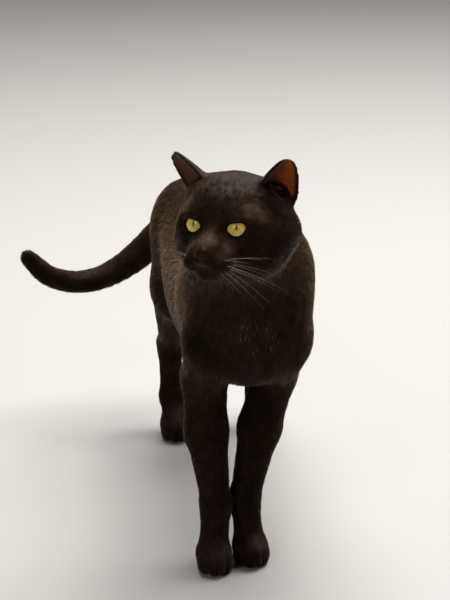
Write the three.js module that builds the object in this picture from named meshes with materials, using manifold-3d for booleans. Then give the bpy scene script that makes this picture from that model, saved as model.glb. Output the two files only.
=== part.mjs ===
// A short-haired domestic cat at life size, standing with its forefeet together, its head turned
// to its own right and its tail swept out low to the right with the tip lifted.
// Millimetres, +Z up. The cat faces -Y, its right side is -X and its soles stand on z = 0.
// The origin is on the floor under the middle of the model.
//
// The body is one smooth field: rounded forms joined by a soft minimum, negative inside. Its zero
// level is the coat's outline. Each body part is a mesh of that field, parted by thin cuts.

import * as THREE from 'three';
import { mergeVertices } from 'three/addons/utils/BufferGeometryUtils.js';
import Module from 'manifold-3d';

const wasm = await Module();
wasm.setup();

// ---- driving dimensions ----

const gap = 0.3; // left between neighbouring pieces
const headPlace = [-24.5, -75.5, 301.6]; // the middle of the skull, above and ahead of the forefeet
const headTurn = [-8.5, 0, -28.5]; // degrees: nose a little up, face to the cat's right
const eyeRadius = 10.5;
const eyeCentre = [14.6, -17.5, 0.5]; // of the left eyeball, from the middle of the skull
const eyeTurn = 18; // degrees that each eye looks outwards
const lidSlant = 9; // degrees that the opening rises to its outer corner
const lidOpening = { width: 14.6, height: 10.3 };
const earThickness = 3;
// The right ear is turned back a little, so its cup is opened flatter than the left one's.
const earHalfWidth = { left: 20.5, right: 19 };
const earTaper = { left: 0.38, right: 0.26 }; // share of the width lost towards the tip
const earDepth = { left: 14.5, right: 9.8 }; // how far the cup bows back behind its rims
const earRoots = { left: [30, 17, 19], right: [-27.5, 15, 21] };
const earTips = { left: [42, 7, 50.5], right: [-51.5, 12, 48] };
const earFacing = { left: 50, right: 54 }; // degrees outwards from straight ahead
const earBuried = 10; // length of the cup below the base point, down into the head

// Trunk sections: y, middle x, belly z, back z, half width, widening upwards.
const trunkSections = [
  [-30, 2, 172, 234, 22, 0.05],
  [-10, 2, 158, 253, 37, 0],
  [30, 1, 145, 262, 45, -0.04],
  [80, 0, 139, 257, 49, -0.08],
  [135, 0, 142, 251, 51, -0.1],
  [190, 0, 150, 252, 50, -0.08],
  [235, 0, 162, 256, 47, 0],
  [285, 0, 172, 255, 43, 0],
  [312, 0, 186, 242, 30, 0],
];

// Joints of the legs, from the body down to the foot.
const foreJoints = {
  right: { shoulder: [-29.5, -10, 190], elbow: [-31, 20, 152], forearm: [-30.5, 12, 108],
    wrist: [-24.4, -2, 50], foot: [-27.5, -12, 14] },
  left: { shoulder: [27.5, -10, 190], elbow: [26.3, 22, 153], forearm: [13.8, 17, 108],
    wrist: [0.4, 8, 50], foot: [3.5, 0, 14] },
};
const hindJoints = {
  right: { hip: [-21, 272, 206], knee: [-29.5, 242, 158], hock: [-30, 324, 84], ankle: [-30, 311, 34],
    foot: [-28.5, 295, 14] },
  left: { hip: [23, 270, 206], knee: [38, 240, 158], hock: [50, 322, 84], ankle: [53, 310, 34],
    foot: [54, 293, 14] },
};

// Tail: x, y, z, radius from the rump to the tip.
const tailLine = [
  [0, 306, 222, 24],
  [-1, 330, 227, 18],
  [-10, 352, 213, 16],
  [-26, 366, 190, 15.4],
  [-44, 374, 168.5, 15],
  [-66, 376, 149.5, 13.6],
  [-92, 372, 137, 12],
  [-118, 364, 135.6, 11.3],
  [-143, 354, 145.5, 10.6],
  [-162, 345, 165.5, 9],
];
const tailSteps = 28;
const tailRoot = 2; // the step where it leaves the rump
const tailCuts = [7, 14, 21]; // steps where it is parted

// Cell sizes of the meshes across x, y and z: fine where the form is small.
const meshSteps = {
  head: [7.2, 7.2, 7.2],
  neck: [14, 14, 14],
  trunk: [17, 22, 16],
  leg: [11, 12.5, 15.5],
  shank: [9.5, 11, 14],
  paw: [7, 7.5, 7.5],
  tail: [9, 9, 9],
};

// ---- small helpers ----

const sides = [['left', 1], ['right', -1]];

function frameAt(origin, turn = [0, 0, 0]) {
  const [x, y, z] = turn.map(THREE.MathUtils.degToRad);
  return new THREE.Matrix4().makeRotationFromEuler(new THREE.Euler(x, y, z, 'ZYX')).setPosition(...origin);
}

function pointIn(frame, point) {
  return new THREE.Vector3(...point).applyMatrix4(frame);
}

const body = frameAt([0, 0, 0]);
const head = frameAt(headPlace, headTurn);

// A cubic through the rows of a table: column `column` at `place`, places in column 0.
function alongTable(rows, place, column) {
  const last = rows.length - 1;
  const slope = (i) => {
    const [low, high] = [Math.max(i - 1, 0), Math.min(i + 1, last)];
    return (rows[high][column] - rows[low][column]) / (rows[high][0] - rows[low][0]);
  };
  let i = 0;
  while (i < last - 1 && place > rows[i + 1][0]) i += 1;
  const span = rows[i + 1][0] - rows[i][0];
  const t = THREE.MathUtils.clamp((place - rows[i][0]) / span, 0, 1);
  const ease = t * t * (3 - 2 * t);
  return (1 - ease) * rows[i][column] + ease * rows[i + 1][column]
    + span * (t * (1 - t) * (1 - t) * slope(i) - t * t * (1 - t) * slope(i + 1));
}

// ---- rounded forms: each has a distance-like value, a bounding box and a blending width ----

function egg(frame, centre, radii, blend, tilt = [0, 0, 0]) {
  const place = frame.clone().multiply(frameAt(centre, tilt));
  const e = place.clone().invert().elements;
  const [rx, ry, rz] = radii;
  const middle = new THREE.Vector3().setFromMatrixPosition(place);
  const m = place.elements;
  const reach = [0, 1, 2].map((i) => Math.hypot(m[i] * rx, m[i + 4] * ry, m[i + 8] * rz));
  const value = (x, y, z) => {
    const a = (e[0] * x + e[4] * y + e[8] * z + e[12]) / rx;
    const b = (e[1] * x + e[5] * y + e[9] * z + e[13]) / ry;
    const c = (e[2] * x + e[6] * y + e[10] * z + e[14]) / rz;
    const near = Math.hypot(a, b, c);
    return (near * (near - 1)) / Math.max(Math.hypot(a / rx, b / ry, c / rz), 1e-6);
  };
  const box = new THREE.Box3().setFromCenterAndSize(middle, new THREE.Vector3(...reach).multiplyScalar(2));
  return { value, box, blend };
}

// A round cone between two points, squeezed across x by `wide`.
function bone(start, end, startRadius, endRadius, blend, wide = 1) {
  const axis = end.clone().sub(start);
  const lengthSquared = axis.lengthSq();
  const value = (x, y, z) => {
    let [dx, dy, dz] = [x - start.x, y - start.y, z - start.z];
    const t = THREE.MathUtils.clamp((dx * axis.x + dy * axis.y + dz * axis.z) / lengthSquared, 0, 1);
    dx = (dx - t * axis.x) / wide;
    dy -= t * axis.y;
    dz -= t * axis.z;
    return Math.hypot(dx, dy, dz) - startRadius - t * (endRadius - startRadius);
  };
  const box = new THREE.Box3().setFromPoints([start, end]).expandByScalar(Math.max(startRadius, endRadius));
  return { value, box, blend };
}

// The trunk: rounded sections set along y.
function barrel(sections, blend) {
  const power = 2.2;
  const [front, rear] = [sections[0][0], sections.at(-1)[0]];
  const value = (x, y, z) => {
    const place = THREE.MathUtils.clamp(y, front, rear);
    const [middle, belly, back, half, widening] = [1, 2, 3, 4, 5].map((i) => alongTable(sections, place, i));
    const height = (back - belly) / 2;
    const [dx, dz] = [x - middle, z - (back + belly) / 2];
    const rise = dz / height;
    const width = half * (1 + widening * THREE.MathUtils.clamp(rise, -1.2, 1.2));
    const near = (Math.abs(dx / width) ** power + Math.abs(rise) ** power) ** (1 / power);
    const inside = -0.7 * Math.min(half, height);
    const level = near < 0.3 ? inside : Math.hypot(dx, dz) * (1 - 1 / near);
    return y === place ? level : Math.hypot(Math.max(level, 0), y - place);
  };
  const widest = Math.max(...sections.map((row) => row[4])) * 1.2;
  const box = new THREE.Box3(
    new THREE.Vector3(-widest, front, Math.min(...sections.map((row) => row[2]))),
    new THREE.Vector3(widest, rear, Math.max(...sections.map((row) => row[3]))),
  );
  return { value, box, blend };
}

// ---- the forms of the cat ----

const inHead = (centre, radii, blend, tilt) => egg(head, centre, radii, blend, tilt);

function headForms() {
  const forms = [
    inHead([0, 16, 6.2], [38, 38, 33], 12), // braincase
    inHead([0, -4, 7], [29, 26, 23], 12, [10, 0, 0]), // forehead
    inHead([0, -20, -19.5], [20.5, 23, 13.8], 9), // muzzle
    inHead([0, 4, -25], [29, 30, 15], 12), // throat
    bone(pointIn(head, [0, -14, 1]), pointIn(head, [0, -43, -18]), 11.5, 6, 6), // bridge of the nose
    inHead([0, -43.5, -22], [7, 5.5, 5], 3), // nose
    inHead([0, -31.5, -33.5], [9, 8.5, 6.2], 5), // chin
  ];
  for (const [, side] of sides) {
    forms.push(
      inHead([side * 22, 13, -12], [22, 27, 25], 14), // jowl
      inHead([side * 16.5, -6, -3], [17, 20, 16.5], 10, [0, 0, side * 15]), // cheekbone
      inHead([side * 21, 13, 20.5], [14, 15, 12], 10), // corner of the skull before the ear
      inHead([side * 8.6, -33.5, -25.2], [10.2, 11.5, 8.4], 5, [0, 0, side * 24]), // whisker pad
      inHead([side * 14, -14, 8], [13, 10, 7.5], 7, [0, side * 12, side * 18]), // brow
      inHead([side * eyeCentre[0], eyeCentre[1], eyeCentre[2]], [11.2, 11.2, 11.2], 3.5), // lids
      inHead([side * 23, 27, 17], [14, 12, 15], 9, [0, side * 35, 0]), // muscle behind the ear
    );
  }
  return forms;
}

function neckForms() {
  const withers = new THREE.Vector3(2, 50, 214);
  const crest = new THREE.Vector3(1, -12, 250);
  return [
    bone(withers, crest, 45, 45, 24),
    bone(crest, pointIn(head, [0, 22, -10]), 45, 37, 20),
    inHead([33, 29, -3], [15, 15, 16], 14), // side of the neck, drawn up as the head turns
    egg(body, [1.5, -20, 207], [41.5, 33, 49], 24, [8, 0, 0]), // front of the chest
  ];
}

// Outer bulk of shoulders and haunches, which belongs to the trunk.
function flankForms() {
  return sides.flatMap(([, side]) => [
    egg(body, [side * 31.8 + 1.8, 14, 212], [15, 36, 48], 20, [-28, side * 10, 0]), // shoulder blade
    egg(body, [side * 23, 280, 195], [23.5, 46, 53], 22, [24, 0, 0]), // haunch
  ]);
}

function pawForms([x, y]) {
  const toes = [-10, -3.7, 3.7, 10].map((across) => {
    const back = Math.abs(across) > 5 ? 5 : 0;
    return egg(body, [x + across, y - 19 + back, 9], [5, 9, 9], 2.5, [12, 0, -across * 1.2]);
  });
  return [egg(body, [x, y - 4, 11], [14.5, 21, 13], 8), ...toes];
}

// Limbs of a leg: [from joint, to joint, radius there, radius here, blend, squeeze across].
function legForms(joints, limbs) {
  const at = (name) => new THREE.Vector3(...joints[name]);
  const lengths = limbs.map(([from, to, ...rest]) => bone(at(from), at(to), ...rest));
  return [...lengths, ...pawForms(joints.foot)];
}

function foreForms(joints) {
  return legForms(joints, [
    ['shoulder', 'elbow', 24.5, 20, 14, 0.92],
    ['elbow', 'forearm', 19.8, 18.2, 8, 0.95],
    ['forearm', 'wrist', 18.2, 12.6, 8, 0.96],
    ['wrist', 'foot', 12.5, 12, 8],
  ]);
}

function hindForms(joints) {
  const [x, y, z] = joints.knee;
  return legForms({ ...joints, calf: [x, y + 18, z - 2] }, [
    ['hip', 'knee', 34, 25, 18, 0.78],
    ['calf', 'hock', 28, 12, 18, 0.85],
    ['hock', 'ankle', 11.8, 11.2, 12],
    ['ankle', 'foot', 11.2, 11.5, 8],
  ]);
}

const tailRows = tailLine.map((row, i) => [i, ...row]);
function tailPoint(step) {
  const place = (step / tailSteps) * (tailLine.length - 1);
  const [x, y, z, radius] = [1, 2, 3, 4].map((column) => alongTable(tailRows, place, column));
  return { centre: new THREE.Vector3(x, y, z), radius };
}

function tailForms() {
  return Array.from({ length: tailSteps }, (_, i) => {
    const [here, next] = [tailPoint(i), tailPoint(i + 1)];
    return bone(here.centre, next.centre, here.radius, next.radius, i < 5 ? 10 : 3);
  });
}

// ---- the field ----

function softMin(a, b, width) {
  const h = THREE.MathUtils.clamp(0.5 + (0.5 * (b - a)) / width, 0, 1);
  return b + (a - b) * h - width * h * (1 - h);
}

const trunkForms = [barrel(trunkSections, 12), ...flankForms()];
const coreForms = [...trunkForms, ...neckForms(), ...tailForms(), ...headForms()];

// The core with the forms of one leg, so that legs that stand close never flow together.
function fieldWith(limb = []) {
  const margin = 6;
  const farAway = 40;
  const forms = [...coreForms, ...limb].map((form) => ({
    ...form,
    box: form.box.clone().expandByScalar(form.blend + margin),
  }));
  const point = new THREE.Vector3();
  return (x, y, z) => {
    point.set(x, y, z);
    const near = forms.filter((form) => form.box.containsPoint(point));
    return near.reduce((level, form) => softMin(level, form.value(x, y, z), form.blend), farAway);
  };
}

// ---- meshing: one vertex in each cell that the surface crosses, moved onto the zero level ----

function steps(low, high, size) {
  const count = Math.max(Math.ceil((high - low) / size), 1);
  return Array.from({ length: count + 1 }, (_, i) => low + (i * (high - low)) / count);
}

function meshField(field, box, size, level = 0) {
  const axes = [
    steps(box.min.x, box.max.x, size[0]),
    steps(box.min.y, box.max.y, size[1]),
    steps(box.min.z, box.max.z, size[2]),
  ];
  const count = axes.map((axis) => axis.length);
  const at = (i, j, k) => (i * count[1] + j) * count[2] + k;
  const values = new Float64Array(count[0] * count[1] * count[2]);
  const rim = (i, axis) => i === 0 || i === count[axis] - 1;
  for (let i = 0; i < count[0]; i += 1) {
    for (let j = 0; j < count[1]; j += 1) {
      for (let k = 0; k < count[2]; k += 1) {
        const outside = rim(i, 0) || rim(j, 1) || rim(k, 2);
        const here = outside ? 1 : field(axes[0][i], axes[1][j], axes[2][k]) - level;
        values[at(i, j, k)] = here;
      }
    }
  }

  const corners = [0, 1, 2, 3, 4, 5, 6, 7].map((n) => [n & 1, (n >> 1) & 1, (n >> 2) & 1]);
  const cellEdges = corners.flatMap((a) => [0, 1, 2].filter((axis) => a[axis] === 0)
    .map((axis) => [a, a.map((c, n) => (n === axis ? 1 : c))]));
  const positions = [];
  const vertexOf = new Map();
  for (let i = 0; i < count[0] - 1; i += 1) {
    for (let j = 0; j < count[1] - 1; j += 1) {
      for (let k = 0; k < count[2] - 1; k += 1) {
        const sum = [0, 0, 0];
        let crossings = 0;
        for (const [a, b] of cellEdges) {
          const start = values[at(i + a[0], j + a[1], k + a[2])];
          const end = values[at(i + b[0], j + b[1], k + b[2])];
          if (start < 0 === end < 0) continue;
          const t = THREE.MathUtils.clamp(start / (start - end), 0.1, 0.9);
          [i, j, k].forEach((cell, n) => {
            const low = axes[n][cell + a[n]];
            sum[n] += low + t * (axes[n][cell + b[n]] - low);
          });
          crossings += 1;
        }
        if (crossings === 0) continue;
        vertexOf.set(at(i, j, k), positions.length / 3);
        positions.push(...ontoLevel(field, sum.map((v) => v / crossings), level, size));
      }
    }
  }

  const triangles = [];
  for (let axis = 0; axis < 3; axis += 1) {
    const [b, c] = [(axis + 1) % 3, (axis + 2) % 3];
    const cell = [0, 0, 0];
    for (cell[axis] = 0; cell[axis] < count[axis] - 1; cell[axis] += 1) {
      for (cell[b] = 1; cell[b] < count[b] - 1; cell[b] += 1) {
        for (cell[c] = 1; cell[c] < count[c] - 1; cell[c] += 1) {
          const next = cell.slice();
          next[axis] += 1;
          const inside = values[at(...cell)] < 0;
          if (inside === values[at(...next)] < 0) continue;
          const quad = [[-1, -1], [0, -1], [0, 0], [-1, 0]].map(([db, dc]) => {
            const corner = cell.slice();
            corner[b] += db;
            corner[c] += dc;
            return vertexOf.get(at(...corner));
          });
          if (!inside) quad.reverse();
          triangles.push(quad[0], quad[1], quad[2], quad[0], quad[2], quad[3]);
        }
      }
    }
  }
  return solidFrom(positions, triangles);
}

// Newton steps along the slope, kept within the cell.
function ontoLevel(field, start, level, size) {
  const reach = 0.45 * Math.min(...size);
  const nudge = 0.2;
  let point = start;
  for (let pass = 0; pass < 2; pass += 1) {
    const here = field(...point) - level;
    const slope = [0, 1, 2].map((n) => {
      const higher = point.slice();
      const lower = point.slice();
      higher[n] += nudge;
      lower[n] -= nudge;
      return (field(...higher) - field(...lower)) / (2 * nudge);
    });
    const steep = Math.max(slope[0] ** 2 + slope[1] ** 2 + slope[2] ** 2, 0.25);
    point = point.map((v, n) => v - (here * slope[n]) / steep);
  }
  return point.map((v, n) => start[n] + THREE.MathUtils.clamp(v - start[n], -reach, reach));
}

// ---- solids and cuts ----

function solidFrom(positions, triangles) {
  return new wasm.Manifold(new wasm.Mesh({
    numProp: 3,
    vertProperties: new Float32Array(positions),
    triVerts: new Uint32Array(triangles),
    tolerance: 0.05, // slivers thinner than this are merged away by each cut
  }));
}

function solidOf(geometry) {
  geometry.deleteAttribute('normal');
  geometry.deleteAttribute('uv');
  const merged = mergeVertices(geometry, 1e-4);
  return solidFrom(merged.attributes.position.array, merged.index.array);
}

function geometryOf(solid) {
  const { vertProperties, triVerts } = solid.getMesh();
  const geometry = new THREE.BufferGeometry();
  geometry.setAttribute('position', new THREE.BufferAttribute(new Float32Array(vertProperties), 3));
  geometry.setIndex(new THREE.BufferAttribute(new Uint32Array(triVerts), 1));
  geometry.computeVertexNormals();
  return geometry;
}

// Everything on the side of a plane that `direction` points to, from `offset` beyond `point`.
function halfSpace(point, direction, offset) {
  const size = 1200;
  const normal = new THREE.Vector3(...direction).normalize();
  const turn = new THREE.Quaternion().setFromUnitVectors(new THREE.Vector3(0, 0, 1), normal);
  const box = new THREE.BoxGeometry(size, size, size);
  box.translate(0, 0, size / 2 + offset).applyQuaternion(turn);
  return solidOf(box.translate(...point));
}

const bounds = (low, high) => new THREE.Box3(new THREE.Vector3(...low), new THREE.Vector3(...high));
const above = (height) => halfSpace([0, 0, height], [0, 0, 1], gap / 2);
const below = (height) => halfSpace([0, 0, height], [0, 0, -1], gap / 2);
const floor = halfSpace([0, 0, 0], [0, 0, 1], 0);

// Where the parts meet.
const napeCut = { point: pointIn(head, [0, 34, -6]).toArray(), normal: [0.1, -0.86, 0.5] };
const collarCut = { point: [0, -10, 237], normal: [0, -0.43, 0.9] };
const rumpCut = { point: [0, 330, 224], normal: [0, 0.94, 0.34] };
const pawHeights = { fore: 36, hind: 32 };
const stifleHeight = 128; // where the shank leaves the thigh

const behind = ({ point, normal }) => halfSpace(point, normal.map((v) => -v), gap / 2);
const ahead = ({ point, normal }) => halfSpace(point, normal, gap / 2);

// The room that a leg takes from the trunk: a round-topped panel, slanting in towards the belly.
function legRoom(side, grow, { middle, top, radius, fork, lean }) {
  const [reach, low] = [100, -10];
  const outline = new THREE.Shape().moveTo(middle - radius - grow, low);
  outline.lineTo(middle + radius + grow, low).absarc(middle, top, radius + grow, 0, Math.PI, false);
  const panel = new THREE.ExtrudeGeometry(outline, { depth: 2 * reach, bevelEnabled: false });
  // The outline lies in y and z, and its depth runs along x.
  const turn = new THREE.Matrix4().set(0, 0, 1, -reach, 1, 0, 0, 0, 0, 1, 0, 0, 0, 0, 0, 1);
  return solidOf(panel.applyMatrix4(turn))
    .intersect(halfSpace([side * fork[0], 0, fork[1]], [side, 0, -lean], -grow));
}

const foreRoom = { middle: 4, top: 190, radius: 47, fork: [5, 138], lean: 0.5 };
const hindRoom = { middle: 277, top: 188, radius: 64, fork: [4.5, 150], lean: 0.52 };

// ---- ears: a cup between two rims, wide and deep at the root, closing to a rounded tip ----

// The cup's middle sheet: u round from rim to rim (-1 to 1), t up from the root to the tip (0 to 1).
// Each section is an arc of radius R = (w^2 + d^2) / 2d, with half width and bow
// w = W sqrt(1 - t^3) (1 - taper t) (1 - 0.45 (1 - t / 0.4)^2) + 0.6 and d = D (1 - t^1.5) + 1.2.
function earShape(name, side) {
  const root = pointIn(head, earRoots[name]);
  const tip = pointIn(head, earTips[name]);
  const length = root.distanceTo(tip);
  const up = tip.clone().sub(root).normalize();
  const facing = THREE.MathUtils.degToRad(earFacing[name]);
  const open = new THREE.Vector3(side * Math.sin(facing), -Math.cos(facing), 0).transformDirection(head);
  open.addScaledVector(up, -open.dot(up)).normalize();
  const across = new THREE.Vector3().crossVectors(up, open);
  return (u, t, face) => {
    const narrowed = 1 - 0.45 * Math.max(1 - t / 0.4, 0) ** 2;
    const width = earHalfWidth[name] * Math.sqrt(1 - t ** 3) * (1 - earTaper[name] * t) * narrowed + 0.6;
    const bow = earDepth[name] * (1 - t ** 1.5) + 1.2;
    const radius = (width ** 2 + bow ** 2) / (2 * bow);
    const turn = u * Math.acos(1 - bow / radius);
    const out = radius - (face * Math.min(earThickness, 1.6 * radius) * (1 - 0.5 * u ** 4)) / 2;
    return root.clone()
      .addScaledVector(up, t * (length + earBuried) - earBuried)
      .addScaledVector(across, out * Math.sin(turn))
      .addScaledVector(open, radius - bow - out * Math.cos(turn));
  };
}

function earSolid(name, side) {
  const [columns, rows] = [8, 7];
  const pointAt = earShape(name, side);
  const positions = [];
  for (let row = 0; row <= rows; row += 1) {
    const t = Math.sin((row / rows) * Math.PI / 2) ** 1.2;
    for (let i = 0; i <= columns; i += 1) positions.push(...pointAt((2 * i) / columns - 1, t, 1).toArray());
    for (let i = columns; i >= 0; i -= 1) positions.push(...pointAt((2 * i) / columns - 1, t, -1).toArray());
  }
  const ring = 2 * (columns + 1);
  const quads = [];
  for (let row = 0; row < rows; row += 1) {
    for (let i = 0; i < ring; i += 1) {
      const [here, next] = [row * ring + i, row * ring + ((i + 1) % ring)];
      quads.push([here, next, next + ring, here + ring]);
    }
  }
  for (let i = 0; i < columns; i += 1) {
    const top = rows * ring;
    quads.push([i + 1, i, ring - 1 - i, ring - 2 - i]);
    quads.push([top + i, top + i + 1, top + ring - 2 - i, top + ring - 1 - i]);
  }
  return solidFrom(positions, quads.flatMap(([a, b, c, d]) => [a, b, c, a, c, d]));
}

// ---- eyes: the front of each eyeball, as wide as its lids open ----

function eyeFrame(side) {
  const [x, y, z] = eyeCentre;
  return head.clone().multiply(frameAt([side * x, y, z], [0, 0, side * eyeTurn]));
}

// A prism of the lids' opening, from just ahead of the eyeball's middle out past its front.
function lidPrism(side, grow) {
  const [half, rise] = [lidOpening.width / 2 + grow, (lidOpening.height / 2 + grow) / 0.75];
  const outline = new THREE.Shape().moveTo(-half, 0);
  outline.bezierCurveTo(-half * 0.7, rise, half * 0.7, rise, half, 0);
  outline.bezierCurveTo(half * 0.7, -rise, -half * 0.7, -rise, -half, 0);
  const start = 2 - grow;
  const prism = new THREE.ExtrudeGeometry(outline, { depth: 14, bevelEnabled: false, curveSegments: 6 });
  prism.rotateZ(side * THREE.MathUtils.degToRad(lidSlant)).translate(0, 0, start).rotateX(Math.PI / 2);
  return solidOf(prism.applyMatrix4(eyeFrame(side)));
}

function eyeSolid(side) {
  const ball = new THREE.SphereGeometry(eyeRadius, 18, 12).applyMatrix4(eyeFrame(side));
  return solidOf(ball).intersect(lidPrism(side, 0));
}

// ---- the parts ----

const coreField = fieldWith();
const limbFields = {
  foreRight: fieldWith(foreForms(foreJoints.right)),
  foreLeft: fieldWith(foreForms(foreJoints.left)),
  hindRight: fieldWith(hindForms(hindJoints.right)),
  hindLeft: fieldWith(hindForms(hindJoints.left)),
};
const wholeField = (x, y, z) => Math.min(...Object.values(limbFields).map((field) => field(x, y, z)));

const coat = { color: 0x1c1613, roughness: 0.75, metalness: 0 };
const earCoat = { color: 0x2a1d18, roughness: 0.8, metalness: 0 };
const pad = { color: 0x191412, roughness: 0.7, metalness: 0 };
const eye = { color: 0xc8b24a, roughness: 0.1, metalness: 0 };

const model = new THREE.Group();

function addPart(name, solid, look) {
  const mesh = new THREE.Mesh(geometryOf(solid), new THREE.MeshStandardMaterial(look));
  mesh.name = name;
  model.add(mesh);
}

const headBounds = bounds([-95, -140, 252], [50, -18, 350]);
const skull = meshField(coreField, headBounds, meshSteps.head).intersect(ahead(napeCut));
const skullRoom = meshField(coreField, headBounds, meshSteps.head, 2 * gap);
addPart('head', sides.reduce((solid, [, side]) => solid.subtract(lidPrism(side, gap)), skull), coat);
for (const [name, side] of sides) {
  addPart(`ear_${name}`, earSolid(name, side).subtract(skullRoom), earCoat);
  addPart(`eye_${name}`, eyeSolid(side), eye);
}

const neckBounds = bounds([-75, -95, 190], [75, 60, 330]);
const neck = meshField(wholeField, neckBounds, meshSteps.neck).intersect(behind(napeCut));
addPart('neck', neck.intersect(ahead(collarCut)), coat);

const trunkBounds = bounds([-75, -78, 122], [75, 352, 275]);
const rooms = sides.flatMap(([, side]) => [legRoom(side, gap, foreRoom), legRoom(side, gap, hindRoom)]);
const trunk = meshField(wholeField, trunkBounds, meshSteps.trunk)
  .intersect(behind(collarCut))
  .intersect(behind(rumpCut));
addPart('trunk', rooms.reduce((solid, room) => solid.subtract(room), trunk), coat);

for (const [name, side] of sides) {
  const [x] = foreJoints[name].foot;
  const [low, high] = side > 0 ? [-22, 75] : [-75, 12];
  const field = side > 0 ? limbFields.foreLeft : limbFields.foreRight;
  const leg = meshField(field, bounds([low, -60, 20], [high, 66, 245]), meshSteps.leg)
    .intersect(legRoom(side, 0, foreRoom));
  addPart(`foreleg_${name}`, leg.intersect(above(pawHeights.fore)), coat);
  const paw = meshField(field, bounds([x - 24, -52, -6], [x + 24, 36, 48]), meshSteps.paw);
  addPart(`forepaw_${name}`, paw.intersect(floor).intersect(below(pawHeights.fore)), pad);
}

for (const [name, side] of sides) {
  const { hock, foot } = hindJoints[name];
  const [low, high] = side > 0 ? [-12, 76] : [-72, 12];
  const field = side > 0 ? limbFields.hindLeft : limbFields.hindRight;
  const thigh = meshField(field, bounds([low, 188, 110], [high, 356, 252]), meshSteps.leg)
    .intersect(legRoom(side, 0, hindRoom));
  addPart(`thigh_${name}`, thigh.intersect(above(stifleHeight)), coat);
  const shankBounds = bounds([hock[0] - 34, 210, 16], [hock[0] + 34, 350, 142]);
  const shank = meshField(field, shankBounds, meshSteps.shank);
  addPart(`shank_${name}`, shank.intersect(below(stifleHeight)).intersect(above(pawHeights.hind)), coat);
  const paw = meshField(field, bounds([foot[0] - 24, 255, -6], [foot[0] + 24, 342, 44]), meshSteps.paw);
  addPart(`hindpaw_${name}`, paw.intersect(floor).intersect(below(pawHeights.hind)), pad);
}

const tailPlane = (step) => {
  const direction = tailPoint(step + 1).centre.sub(tailPoint(step - 1).centre);
  return { point: tailPoint(step).centre.toArray(), normal: direction.toArray() };
};
const tailEnds = [tailRoot, ...tailCuts, tailSteps];
tailEnds.slice(1).forEach((end, i) => {
  const from = tailEnds[i];
  const last = Math.min(end + 1, tailSteps);
  const centres = Array.from({ length: last - from + 1 }, (_, n) => tailPoint(from + n).centre);
  const room = new THREE.Box3().setFromPoints(centres).expandByScalar(24);
  const length = meshField(coreField, room, meshSteps.tail);
  const started = length.intersect(ahead(i === 0 ? rumpCut : tailPlane(from)));
  addPart(`tail_${i + 1}`, end === tailSteps ? started : started.intersect(behind(tailPlane(end))), coat);
});

// The model's middle goes over the origin.
const middle = new THREE.Box3().setFromObject(model).getCenter(new THREE.Vector3());
model.position.set(-middle.x.toFixed(2), -middle.y.toFixed(2), 0);

export default model;
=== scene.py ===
import math

import bpy
import numpy as np
from mathutils import Matrix


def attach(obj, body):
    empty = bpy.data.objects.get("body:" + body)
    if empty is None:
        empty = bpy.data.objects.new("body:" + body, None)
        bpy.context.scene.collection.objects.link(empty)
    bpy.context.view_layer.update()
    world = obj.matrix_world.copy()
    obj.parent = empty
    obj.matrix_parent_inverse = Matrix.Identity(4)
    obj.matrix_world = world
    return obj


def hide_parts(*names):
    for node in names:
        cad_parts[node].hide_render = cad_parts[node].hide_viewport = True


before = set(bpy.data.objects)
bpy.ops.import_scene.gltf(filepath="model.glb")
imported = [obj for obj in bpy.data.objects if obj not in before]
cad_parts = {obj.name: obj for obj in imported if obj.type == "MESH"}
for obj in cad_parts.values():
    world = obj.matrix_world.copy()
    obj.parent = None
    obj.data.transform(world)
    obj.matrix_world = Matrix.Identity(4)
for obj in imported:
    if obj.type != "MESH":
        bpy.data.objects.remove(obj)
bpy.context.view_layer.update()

# A black short-haired cat. Shapes are worked out in the cat's own millimetres, with zero on the floor at
# its left forefoot, x to its left, y backwards and z up. They go into the frame when they become meshes.
mm = 0.001
catOrigin = np.array([0.05098, -0.13386, 0.0])  # the cat's zero in the frame, in metres
random = np.random.default_rng(7)


# The cat's millimetres to the frame's metres: p / 1000 + catOrigin.
def toFrame(points):
    return np.asarray(points, float) * mm + catOrigin


# Vectors brought to length one: v / |v|.
def unit(vectors):
    vectors = np.asarray(vectors, float)
    return vectors / np.maximum(np.linalg.norm(vectors, axis=-1, keepdims=True), 1e-6)


# sRGB hex to linear RGBA: c / 12.92 for dark values, ((c + 0.055) / 1.055) ^ 2.4 above.
def linear(hexColour):
    c = np.array([int(hexColour[i:i + 2], 16) / 255 for i in (1, 3, 5)])
    c = np.where(c <= 0.04045, c / 12.92, ((c + 0.055) / 1.055) ** 2.4)
    return (*c, 1.0)


# A mesh object from points in metres and rows of point numbers.
def makePiece(name, points, faces, material, smooth=True):
    mesh = bpy.data.meshes.new(name)
    mesh.vertices.add(len(points))
    mesh.vertices.foreach_set("co", np.ascontiguousarray(points, np.float32).ravel())
    mesh.loops.add(faces.size)
    mesh.loops.foreach_set("vertex_index", np.ascontiguousarray(faces, np.int32).ravel())
    mesh.polygons.add(len(faces))
    mesh.polygons.foreach_set("loop_start", np.arange(0, faces.size, faces.shape[1], dtype=np.int32))
    mesh.polygons.foreach_set("use_smooth", np.full(len(faces), smooth))
    mesh.update(calc_edges=True)
    mesh.materials.append(material)
    piece = bpy.data.objects.new(name, mesh)
    bpy.context.scene.collection.objects.link(piece)
    return piece


# Stores one number or one vector for each of a piece's points.
def setAttribute(piece, name, values):
    values = np.ascontiguousarray(values, np.float32)
    kind, field = ("FLOAT", "value") if values.ndim == 1 else ("FLOAT_VECTOR", "vector")
    piece.data.attributes.new(name, kind, "POINT").data.foreach_set(field, values.ravel())


# A material and its shader, with values for the shader's own sockets.
def newMaterial(name, values):
    material = bpy.data.materials.new(name)
    material.use_nodes = True
    shader = material.node_tree.nodes["Principled BSDF"]
    for key, value in values.items():
        shader.inputs[key].default_value = value
    return material, shader


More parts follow.
